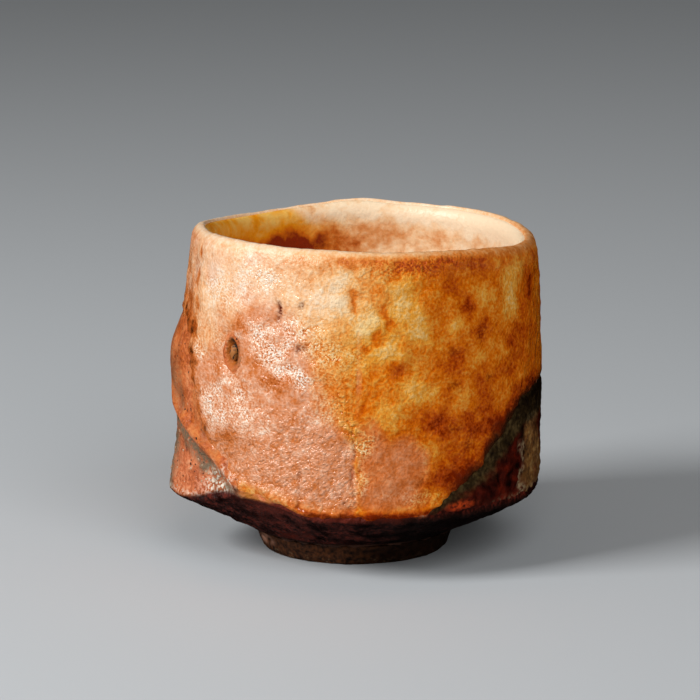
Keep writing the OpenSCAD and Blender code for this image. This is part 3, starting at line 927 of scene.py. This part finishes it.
cut_lap = mark(wall_angle, CUT_LAP)
inside_edge = above_line(glaze_line) + 0.5 + cut_lap + ragged
pit_room = (pit_gap[wall_from:wall_to] - 1.1) * PIT_WIDE
inside_edge = np.where(wall_z > BELLY_HEIGHT, np.minimum(inside_edge, pit_room), inside_edge)
thinning = 1.1 + 2.9 * cut_near + 1.4 * grip_near
cover = ease((inside_edge + 0.2) / thinning) * ease((1.2 - crest_share) / 0.12)
rolled_edge = 0.15 * bell((inside_edge - 0.9) / 1.1) * (1 - cut_near) * (1 - grip_near)

# Where the flame left its colours, as spots: strength, bearing, height, half width and half height. Broad
# tones come first, then pale drops where the glaze gathered, then rust where it ran thin
CREAM = (1, 224, 56, 28, 14)
TONE_SPOTS = [
    (0.26, 212, 46, 9, 8), (0.12, 256, 52, 8, 6), (0.22, 266, 48, 20, 16), (-0.12, 318, 30, 24, 20),
    (-0.1, 335, 48, 12, 16),
    (0.32, 271, 49, 4.6, 5), (0.32, 283, 52.5, 4, 6), (0.32, 289, 47, 3.6, 3.6), (0.3, 302, 47, 3.4, 3.4),
    (0.25, 266, 56.5, 7, 3), (0.25, 261, 53, 5, 4.5), (0.2, 278, 43.5, 6, 4), (0.2, 313, 52, 4, 4),
    (0.3, 288, 36, 6, 4), (0.26, 304, 33, 4, 3.6), (0.2, 310, 42, 3, 3), (0.16, 318, 41, 4, 4),
    (0.16, 321, 34, 4, 4), (0.08, 290, 25, 3, 2.6), (0.08, 282, 22.5, 8, 6), (0.24, 278, 32, 4, 4),
    (0.36, 327, 54.5, 6, 5.5), (0.3, 325, 49, 4.5, 5),
    (-0.34, 276, 50.8, 1.8, 2), (-0.34, 278, 48.5, 1.8, 2), (-0.34, 275, 45.8, 2, 1.8),
    (-0.3, 271, 44.2, 2.4, 1.5), (-0.34, 267, 53.2, 1.6, 4), (-0.28, 280, 40.5, 2.6, 3),
    (-0.2, 268, 59.6, 6, 2), (-0.16, 286, 58.4, 9, 2.4), (-0.14, 300, 59.2, 9, 2.4), (-0.16, 310, 58, 5, 3),
    (-0.3, 340, 51.8, 2.4, 4), (-0.22, 301, 54.6, 4, 2.4), (-0.26, 305, 51, 2.6, 3.6), (-0.2, 312, 46, 4, 4),
    (-0.2, 299, 41, 4, 4), (-0.14, 312, 28, 8, 4), (-0.2, 296, 30, 4, 4), (-0.2, 327, 41, 4, 6),
    (-0.24, 295, 19, 7, 3), (-0.16, 302, 23, 6, 8), (-0.12, 309, 31, 6, 6), (-0.14, 292, 30, 5, 4),
]
# Frost spots: pale crystals, whose white flecks and paler tone are partly painted glints
FROST_AND_GLINT_SPOTS = [
    (0.7, 206, 41, 4, 6), (1, 215, 30.5, 6.5, 6), (0.7, 224, 34, 8, 8), (0.5, 234, 29, 7, 6),
    (1, 240, 41.5, 4, 3), (1, 246, 39.5, 4, 3), (1, 251, 38, 3.6, 2.6), (0.7, 246, 46, 9, 6),
    (0.6, 262, 42, 7, 6), (0.7, 271, 26, 3.5, 5), (0.45, 236, 56, 12, 5), (0.5, 258, 33, 6, 6),
    (0.5, 284, 58.5, 12, 3), (0.5, 286, 16.5, 9, 2.5), (0.5, 222, 52, 8, 6), (0.5, 240, 36.5, 4, 3),
    (0.5, 213, 53, 4, 3), (0.5, 239, 56.5, 4, 2.5), (0.5, 232, 46, 6, 5), (0.4, 238, 43, 6, 4),
    (0.4, 254, 45, 6, 5), (0.4, 218, 44, 4, 4), (0.8, 269.6, 19, 1.6, 5), (-0.8, 217, 37.7, 2, 2.6),
    (-0.8, 221, 34, 1.6, 2),
]
OCHRE_SPOTS = [
    (0.4, 241, 36.8, 4.5, 3.4), (0.3, 234, 40, 2.6, 3), (0.3, 229, 47, 3, 2.4), (0.3, 221, 26, 5, 2.6),
]
DARK_PITS = [
    (1.3, 242, 50.4, 0.9, 2.2), (0.7, 250, 51.7, 0.9, 1.1), (0.7, 250, 43.5, 1.5, 1.8),
    (0.6, 312, 45.2, 1.8, 2), (0.5, 300, 43.2, 1.8, 1.8), (0.6, 314, 36.9, 1.8, 1.6),
    (0.5, 301, 35.9, 1.8, 1.8), (0.8, 290, 58.7, 0.6, 0.6), (0.5, 300, 29.1, 1.6, 1.7),
    (0.45, 306, 24.9, 1.7, 1.6), (0.8, 318, 24.1, 0.5, 0.5), (0.9, 232, 25.4, 0.5, 0.6),
    (0.9, 205, 31, 0.7, 1), (0.9, 208, 29, 0.7, 0.9), (0.9, 212, 27.2, 0.7, 0.7),
    (1.3, 226.5, 16.6, 0.9, 1.1),
]
PIT_SINK = 0.2
# Along the seam the glaze gathered in crinkled golden patches, and it pooled at the arch
CRINKLED_SPOTS = [(0.9, 262, 34, 3.5, 4.5), (1, 266, 30, 3, 4), (1, 270, 26.5, 4, 4.5), (0.7, 268, 18, 2, 5)]
ROUGH_SPOTS = [(0.8, 286, 58.4, 12, 3), (0.8, 302, 59.4, 10, 3)]
TAN_SPOTS = [(1, 282, 22, 6.5, 7), (0.8, 272, 26, 4.5, 6), (0.8, 278, 16.5, 9, 4), (0.5, 271, 19, 4, 5)]
ARCH_POOL = (1, 231, 16, 3.4, 1.9)
# The back isn't seen in the photograph, so its pale drops are strewn evenly
BACK_DROPS = 26
BACK_LAST = 135
back_drops = []
for i in range(BACK_DROPS):
    share = i * GOLDEN % 1
    other = i * GOLDEN**2 % 1
    up = mix(18, 57, (i + 0.5) / BACK_DROPS)
    back_drops.append((0.12 + 0.24 * other, BACK_LAST * share, up, 2.5 + 5 * other, 2.5 + 4 * (1 - share)))
# The spots' edges wander, as the flame and the runs of glaze did
wander_angle = wall_angle + 2.2 * lumps(wall, 3.2, 58)
wander_z = wall_z + 1.3 * lumps(wall, 3.2, 59)


def spots(shapes):
    """The sum of several spots over the wall."""
    return sum(strength * spot(wander_angle, wander_z, shape) for strength, *shape in shapes)


# The thin, pink part of the glaze at the left ends under an arc, and at the front along an upright seam
PINK_TOP = [
    (196, 40), (212, 42), (220, 47), (226, 50.5), (235, 53), (243, 53), (249, 51), (253, 46.5), (255.5, 39.5),
    (258, 34.8), (263, 30.5), (268, 26), (270, 14),
]
PINK_FROM = 196
SEAM = 267.5
pink_room = -above_line(line_through(PINK_TOP, angles))
pink_room = np.minimum(pink_room, np.radians(SEAM - wall_angle) * WALL_RADIUS)
pink_room = np.minimum(pink_room, np.radians(wall_angle - PINK_FROM) * WALL_RADIUS)
pink_room = pink_room + 2 * lumps(wall, 6, 32) + 0.9 * lumps(wall, 2, 33)
pink_blur = mix(7, 1.5, ease((31 - wall_z) / 5))
tan = spots(TAN_SPOTS).clip(0, 0.7) * ease((wall_angle - SEAM) / 1.5)
crinkled = spots(CRINKLED_SPOTS).clip(0, 1)
pool = spots([ARCH_POOL])
pink = np.maximum(ease(pink_room / pink_blur + 0.4), tan) * (1 - 0.7 * crinkled) * (1 - pool)
# The wall's upper left is a paler pink
PALE_PINK = (160, 264, 20, 36)
pink = np.maximum(pink, within(wall_angle, PALE_PINK) * (0.55 + 0.5 * lumps(wall, 5, 73)))
frost_and_glints = spots(FROST_AND_GLINT_SPOTS) * (0.85 + 0.7 * lumps(wall, 2.4, 64) + 0.4 * lumps(wall, 1.1, 65)).clip(0, None)
frost_and_glint_share = frost_and_glints.clip(0, 1)
cream = spots([CREAM])
# Creases where the stiff glaze tore as it shrank, as lines through bearings and heights; the seam is first
CREASES = [
    [(266.5, 29), (267.5, 25), (266.8, 20), (268, 15)],
    [(250, 21.5), (249.6, 14.5)],
    [(248.6, 15.5), (254, 18)],
    [(262, 17), (268, 13.5)],
    [(286.4, 17), (290, 21)],
]
CREASE_HALF = 0.4


def line_gap(line):
    """Distance of the wall's points from a line of bearings and heights, in millimetres."""
    ends = [np.array((math.radians(bearing) * WALL_RADIUS, up)) for bearing, up in line]
    gaps = []
    for near, far in zip(ends, ends[1:]):
        run = far - near
        share = ((wall_along - near[0]) * run[0] + (wall_z - near[1]) * run[1]) / (run @ run)
        share = share.clip(0, 1)
        gaps.append(np.hypot(wall_along - near[0] - share * run[0], wall_z - near[1] - share * run[1]))
    return np.minimum.reduce(gaps)


crease_gap = np.minimum.reduce([line_gap(line) for line in CREASES]) + 0.5 * lumps(wall, 1.5, 50)
creased = bell(crease_gap.clip(0, None) / CREASE_HALF)
pits = (spots(DARK_PITS) * (1 + 0.6 * lumps(wall, 1, 53)) + 0.35 * creased).clip(0, 1)
# The level runs from rust at 0 to cream at 1
level = 0.46 + 0.4 * cream + spots(TONE_SPOTS) + spots(back_drops)
level += 0.13 * lumps(wall, 3.4, 28) + 0.1 * lumps(wall, 1.7, 29)
pink_level = 0.46 + 0.26 * frost_and_glint_share - spots(OCHRE_SPOTS)
pink_level += 0.16 * lumps(wall, 2.4, 27) + 0.1 * lumps(wall, 1.2, 54)
pink_level += 0.24 * cream * ease((wall_z - 48) / 6) - 0.16 * ease((wall_angle - SEAM) / 2)
level = mix(level, pink_level, pink) + 0.14 * crinkled
runs = streaks(wall_along, wall_z, 2.6, 9, 63)
level += 0.1 * runs * ease((240 - wall_angle) / 14) * ease((wall_z - 42) / 6)
# The crest of the lip is pale all round, less so at the right
LIP_LEVEL = 0.88
LIP_RIGHT = (-0.4, 330, 90)
lip_share = ease((crest_share - 0.3) / 0.5)
level = mix(level, LIP_LEVEL + mark(wall_angle, LIP_RIGHT) + 0.12 * lumps(wall, 2, 72), lip_share)
# The lower edge glows orange from the arch on
GLOW_FROM = 222
GLOW_TALL = 3
glow = bell(above_lower / GLOW_TALL) * ease((wall_angle - GLOW_FROM) / 8)
glow_level = 0.45 + 0.3 * lumps(wall, 2, 26) - 0.4 * bell(above_lower / 1.2) * (1 - arch_near)
level = mix(level, glow_level, glow)
pink = pink * (1 - 0.8 * glow)
# The edge at the cut is rust red, and scorched brown close to it
RUST_TALL = 5
SCORCH_TALL = 3.6
above_scorch = above_line(np.maximum(lower_line, cut_line))
level = level - 0.4 * cut_near * ease(1.1 - above_scorch / RUST_TALL + 0.6 * lumps(wall, 3, 24))
scorch = cut_near * ease(1.15 - above_scorch / SCORCH_TALL + 0.35 * lumps(wall, 1.4, 25))
# At the grip the glaze thins out over a burnt edge, less so towards the ridge's end
THIN_LAST = 236
THIN_LESS = 206
THIN_PALE = 208
BURNT_LAST = 216
thin_wide = mix(5, 2.4, ease((wall_angle - THIN_LESS) / 10))
thin = ease(1 - above_line(grip_line) / thin_wide + lumps(wall, 2.2, 23))
thin = thin * ease((THIN_LAST - wall_angle) / 3) * (wall_angle > 180)
level = mix(level, mix(0.1, 0.36, ease((wall_angle - THIN_PALE) / 8)), thin)
burnt_edge = 0.8 * thin * ease(3.2 * lumps(wall, 1.3, 22) - 0.5) * ease((BURNT_LAST - wall_angle) / 6)
scorch = np.maximum(scorch, burnt_edge)
# Towards the right and the back the glaze turns amber, further on near the lip
AMBER_FROM = 238
AMBER_ON = 12
AMBER_BACK = 150
amber_from = AMBER_FROM + AMBER_ON * ease((wall_z - 44) / 10)
amber = ease((wall_angle - amber_from) / 36) + ease((AMBER_BACK - wall_angle) / 60)
amber = mix(amber, 1, np.maximum(0.8 * glow, pool)) * (1 - lip_share)
pink = pink * (1 - 0.8 * lip_share)
# Thick drops stand out, the pink part is thin, and slanting wrinkles cross its lower half
WRINKLE_LEAN = 0.6
uphill = wall[..., 0] * math.cos(WRINKLE_LEAN) + wall[..., 2] * math.sin(WRINKLE_LEAN)
downhill = wall[..., 2] * math.cos(WRINKLE_LEAN) - wall[..., 0] * math.sin(WRINKLE_LEAN)
wrinkles = lumps(np.stack([uphill / 2.8, downhill / 1.1, wall[..., 1] / 2.8], axis=-1), 1, 37)
wrinkled = pink * ease((35 - wall_z) / 6) * (1 - 0.8 * frost_and_glint_share) * (1 - tan)
glaze_relief = 0.2 * lumps(wall, 4.5, 34) + 0.15 * lumps(wall, 2.2, 35) + 0.07 * lumps(wall, 1.2, 38)
glaze_relief += 0.3 * (level - 0.5).clip(-0.4, 0.4) * (1 - pink) - 0.16 * pink - 0.15 * creased
glaze_relief += 0.1 * wrinkles * wrinkled - PIT_SINK * pits
glaze_depth = mix(-SUNK, GLAZE, cover) + (rolled_edge + glaze_relief * (1 - 0.7 * lip_share)) * cover
calm = np.maximum(np.maximum(0.8 * cream, tan), 0.6 * lip_share)
peeling = np.maximum(np.maximum(frost_and_glint_share, wrinkled), 1.3 * crinkled + spots(ROUGH_SPOTS)) - 0.4 * tan
glaze_fields = {
    "level": level + 0.24 * pool,
    "amber": amber,
    "frost_and_glints": frost_and_glints * (1 - lip_share) * (1 - thin),
    "grainy": mix(0.42, 0.22, calm) + 0.2 * crinkled,
    "peel": mix(0.32 - 0.08 * cream, 0.7, peeling) * (1 - 0.8 * lip_share),
    "pink": pink,
    "wrinkled": 0.55 * wrinkled,
    "pit": pits,
    "scorch": scorch,
    "satin": ease((5 - rim_z(wall_angle) + wall_z) / 4),
}
outer_glaze = coat("outer_glaze_skin", glaze_depth, glaze_fields)

# Flashed feldspar glaze: cream where it gathered in drops, orange and rust where it ran thin, with a skin
# of fine orange peel that glints and is satin towards the lip. It is pink over red clay, frosted pale where
# its crystals came up with white flecks that are partly painted glints, and red in its granular pits.
GLAZE_TONES = [(0.02, "#7e2f08"), (0.22, "#b8591a"), (0.46, "#dd863c"), (0.72, "#f0ba84"), (1, "#f8dcbc")]
AMBER_TONES = [(0.02, "#7c2200"), (0.22, "#b44604"), (0.46, "#da6e08"), (0.72, "#e89e38"), (1, "#f0c67e")]
PINK_TONES = [(0, "#a64e16"), (0.3, "#cc743c"), (0.55, "#de9a74"), (0.85, "#f4cdb0"), (1, "#fce9d8")]
PIT_RED = "#5c1806"
SCORCH_BROWN = "#2c180a"
# The real orange peel is about 0.4 mm, drawn a little coarser here so that it shows
PEEL = 0.55
FLECK = 0.36
GRAIN = 1.1
STREAK = 0.9
STREAK_FLAT = 0.45
glaze_coat, add, place, field = new_material("flashed_feldspar_glaze", glaze_fields)
grain = add("TexNoise", {"Vector": place, "Scale": per(GRAIN), "Detail": 3})["Fac"]
peel = add("TexNoise", {"Vector": place, "Scale": per(PEEL), "Detail": 1})["Fac"]
fleck = add("TexNoise", {"Vector": place, "Scale": per(FLECK), "Detail": 1})["Fac"]
flat = add(
    "Mapping",
    {"Vector": place, "Rotation": (0, -WRINKLE_LEAN, 0), "Scale": (1, 1, STREAK_FLAT)},
    vector_type="TEXTURE",
)[0]
streak = add("TexNoise", {"Vector": flat, "Scale": per(STREAK), "Detail": 2})["Fac"]
tone = add("Math", {0: grain, 1: peel}, operation="ADD")[0]
tone = add("Math", {0: tone, 1: -1}, operation="ADD")[0]
tone = add("Math", {0: tone, 1: field["grainy"], 2: field["level"]}, operation="MULTIPLY_ADD")[0]
# White flecks in the frost, partly painted glints
frost_and_glint_tone = add("MapRange", {0: fleck, 1: 0.35, 2: 0.65, 3: -0.32, 4: 0.48})[0]
tone = add("Math", {0: frost_and_glint_tone, 1: field["frost_and_glints"], 2: tone}, operation="MULTIPLY_ADD")[0]
speckled = add("MapRange", {0: peel, 1: 0.62, 2: 0.42, 3: 0.3, 4: 1})[0]
speckled = add("Math", {0: field["pit"], 1: speckled}, operation="MULTIPLY")[0]
layers = [
    (field["amber"], add("ValToRGB", {0: tone}, AMBER_TONES)[0]),
    (field["pink"], add("ValToRGB", {0: tone}, PINK_TONES)[0]),
    (speckled, colour(PIT_RED)),
    (field["scorch"], colour(SCORCH_BROWN)),
]
shade = add("ValToRGB", {0: tone}, GLAZE_TONES)[0]
for share, layer in layers:
    shade = add("Mix", {0: share, 6: shade, 7: layer}, data_type="RGBA")[2]
gloss = add("MapRange", {0: grain, 1: 0.3, 2: 0.7, 3: 0.08, 4: 0.24})[0]
gloss = add("Math", {0: field["satin"], 1: 0.25, 2: gloss}, operation="MULTIPLY_ADD")[0]
skin = add("Mix", {0: field["wrinkled"], 2: peel, 3: streak}, data_type="FLOAT")[0]
height = add("Math", {0: grain, 1: 0.8, 2: skin}, operation="MULTIPLY_ADD")[0]
height = add("Mix", {0: field["frost_and_glints"], 2: height, 3: fleck}, data_type="FLOAT")[0]
bump = add("Bump", {"Height": height, "Distance": 0.7 * MM, "Strength": field["peel"]})["Normal"]
finish = add("BsdfPrincipled", {"Base Color": shade, "Roughness": gloss, "IOR": 1.52, "Normal": bump})[0]
add("OutputMaterial", {"Surface": finish})
outer_glaze.data.materials.append(glaze_coat)
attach(outer_glaze, "root")
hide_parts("outer_glaze")


# Ash crust
# Wood ash that fell on the bare cut at the lower right and melted there. It is thickest along the
# edge of the glaze, where it dried olive black, and thin and maroon in the middle.
ASH = 0.3
# The crust runs under the glaze's edge and a little past the cut's ends, where it tapers off
CRUST_PAST = 1
CRUST_TAPER = 0.35
CRUST_LOW = 0.2
TAIL_FROM = 288
crust_reach = mix(1.2, 2.6, ease((wall_angle - TAIL_FROM) / 16) + (wall_angle < 180))
crust_room = np.minimum(crust_reach - above_cut, above_lower + GLAZE_GAP - CRUST_LOW)
crust_ends = CRUST_TAPER * (CUT_SIDE + CRUST_PAST - np.abs(turn(wall_angle, CUT_AT)))
crust_room = np.minimum(crust_room, crust_ends + lumps(wall, 2.2, 68))
crust_room = crust_room + 0.5 * lumps(wall, 2.5, 40) + 0.3 * lumps(wall, 1, 41)
crust_cover = ease((crust_room + 0.2) / 2.4)
# The olive band follows the cut's line, wider and darker higher up
below_cut = -above_cut - cut_lap
olive_wide = 2.4 + 3.5 * ease((wall_z - 23) / 4)
olive = ease((olive_wide - below_cut + 1.4 * lumps(wall, 3, 42) + 0.7 * lumps(wall, 1.2, 48)) / 2.6)
murk = -0.12 * ease((wall_z - 26) / 5)
# Past the side it is dry, from a pale line on, with some maroon left further back and a tan lower edge
DRY_FROM = 331
DRY_BACK = 338
TAN_FROM = 310
past_dry = turn(wall_angle, DRY_FROM) / 5 + 0.8 * lumps(wall, 3, 43)
dry = ease(past_dry) * ease((below_cut - 2) / 2)
dry = dry * ease(0.9 - 1.6 * lumps(wall, 7, 57) * ease(turn(wall_angle, DRY_BACK) / 8))
pale_line = bell((past_dry - 0.2) / 0.35) * ease((24 - wall_z) / 2)
tan_edge = 0.7 * bell((above_lower - 0.2) / 1.2) * ease(0.4 + lumps(wall, 2, 46))
tan_edge = tan_edge * ease((wall_angle - TAN_FROM) / 12)
EMBER = (303, 0.8, 4.64, 1.4)
crust_relief = 0.16 * lumps(wall, 1.8, 44) + 0.1 * lumps(wall, 0.9, 45) + 0.2 * dry * lumps(wall, 1.1, 47)
crust_depth = mix(-SUNK, ASH, crust_cover) + crust_relief * crust_cover
crust_fields = {
    "olive": olive,
    "dry": dry,
    "pale": np.maximum(pale_line, tan_edge),
    "murk": murk,
    "ember": spot(wall_angle, above_lower, EMBER, 0.3 * lumps(wall, 1, 62)),
}
ash_crust = coat("ash_crust_skin", crust_depth, crust_fields)

# Melted wood ash over iron clay: olive black and satin, glassy maroon where thin, with an ember red patch
# at its front end, and grey-brown and dry towards the side
MAROON_GLASS = [(0.32, "#160402"), (0.5, "#420d03"), (0.68, "#6a1803")]
OLIVE_TONES = [(0.34, "#170d05"), (0.48, "#30220f"), (0.62, "#524022")]
DRY_TONES = [(0.34, "#38220e"), (0.5, "#744a1e"), (0.66, "#9c7640")]
CRUST_PALE = "#9c8664"
CRUST_RED = "#c04006"
ASH_GRIT = 0.8
ASH_CLOUD = 2.5
melted_ash, add, place, field = new_material("melted_wood_ash", crust_fields)
grit = add("TexNoise", {"Vector": place, "Scale": per(ASH_GRIT), "Detail": 4})["Fac"]
cloud = add("TexNoise", {"Vector": place, "Scale": per(ASH_CLOUD), "Detail": 4})["Fac"]
pale = add("MapRange", {0: grit, 1: 0.4, 2: 0.6, 4: field["pale"]})[0]
glowing = add("MapRange", {0: grit, 1: 0.35, 2: 0.55, 4: field["ember"]})[0]
mottle = add("Math", {0: grit, 1: cloud}, operation="ADD")[0]
mottle = add("Math", {0: mottle, 1: 0.5, 2: field["murk"]}, operation="MULTIPLY_ADD")[0]
layers = [
    (field["dry"], add("ValToRGB", {0: mottle}, DRY_TONES)[0]),
    (field["olive"], add("ValToRGB", {0: mottle}, OLIVE_TONES)[0]),
    (glowing, colour(CRUST_RED)),
    (pale, colour(CRUST_PALE)),
]
shade = add("ValToRGB", {0: cloud}, MAROON_GLASS)[0]
for share, layer in layers:
    shade = add("Mix", {0: share, 6: shade, 7: layer}, data_type="RGBA")[2]
gloss = add("MapRange", {0: field["dry"], 3: 0.4, 4: 0.75})[0]
bump = add("Bump", {"Height": grit, "Distance": 0.2 * MM, "Strength": 1})["Normal"]
finish = add(
    "BsdfPrincipled",
    {"Base Color": shade, "Roughness": gloss, "IOR": 1.52, "Specular IOR Level": 0.2, "Normal": bump},
)[0]
add("OutputMaterial", {"Surface": finish})
ash_crust.data.materials.append(melted_ash)
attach(ash_crust, "root")
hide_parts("ash_crust")


# Stage
# A plain pale floor, a large soft key lamp from the left with a wider fill lamp from the front right and a
# weak sky, and the camera at the photograph's angle. Only the key is mirrored in the glaze.
FLOOR_GREY = "#c4c8cb"
FLOOR_SIDE = 6.0
half = FLOOR_SIDE / 2
floor_mesh = bpy.data.meshes.new("floor")
floor_corners = [(-half, -half, 0), (half, -half, 0), (half, half, 0), (-half, half, 0)]
floor_mesh.from_pydata(floor_corners, [], [(0, 1, 2, 3)])
floor = bpy.data.objects.new("floor", floor_mesh)
bpy.context.scene.collection.objects.link(floor)
floor_paint, add, place, field = new_material("pale_matt_floor")
finish = add("BsdfPrincipled", {"Base Color": colour(FLOOR_GREY), "Roughness": 0.8})[0]
add("OutputMaterial", {"Surface": finish})
floor_mesh.materials.append(floor_paint)
floor.visible_glossy = False

AIM = Vector((-0.8, 0, 37.2)) * MM
# Each lamp has its bearing and lift in degrees, its distance and side in metres, and its power in watts
LAMPS = [("key", 207, 34, 0.9, 0.36, 7.2), ("fill", 290, 36, 1.3, 1.0, 8.5)]
for name, bearing, lift, distance, side, power in LAMPS:
    lamp = bpy.data.lights.new(name, "AREA")
    lamp.size = side
    lamp.energy = power
    lamp_object = bpy.data.objects.new(name, lamp)
    turned = math.radians(bearing)
    away = Vector((math.cos(turned), math.sin(turned), math.tan(math.radians(lift))))
    lamp_object.location = AIM + away.normalized() * distance
    lamp_object.rotation_euler = away.to_track_quat("Z", "Y").to_euler()
    lamp_object.visible_glossy = name == "key"
    bpy.context.scene.collection.objects.link(lamp_object)
SKY = "#dedddc"
SKY_STRENGTH = 0.15
world = bpy.data.worlds.new("studio")
world.use_nodes = True
sky = world.node_tree.nodes["Background"].inputs
sky["Color"].default_value = colour(SKY)
sky["Strength"].default_value = SKY_STRENGTH
world.cycles_visibility.glossy = False
bpy.context.scene.world = world

CAMERA_DISTANCE = 0.7
CAMERA_LIFT = 11.7
FOCAL_PIXELS = 3710
IMAGE_PIXELS = 700
camera = bpy.data.cameras.new("camera")
camera.sensor_width = 36
camera.lens = FOCAL_PIXELS / IMAGE_PIXELS * camera.sensor_width
camera_object = bpy.data.objects.new("camera", camera)
lift = math.radians(CAMERA_LIFT)
camera_object.location = AIM + CAMERA_DISTANCE * Vector((0, -math.cos(lift), math.sin(lift)))
camera_object.rotation_euler = (math.radians(90) - lift, 0, 0)
bpy.context.scene.collection.objects.link(camera_object)
bpy.context.scene.camera = camera_object
bpy.context.scene.view_settings.view_transform = "Standard"
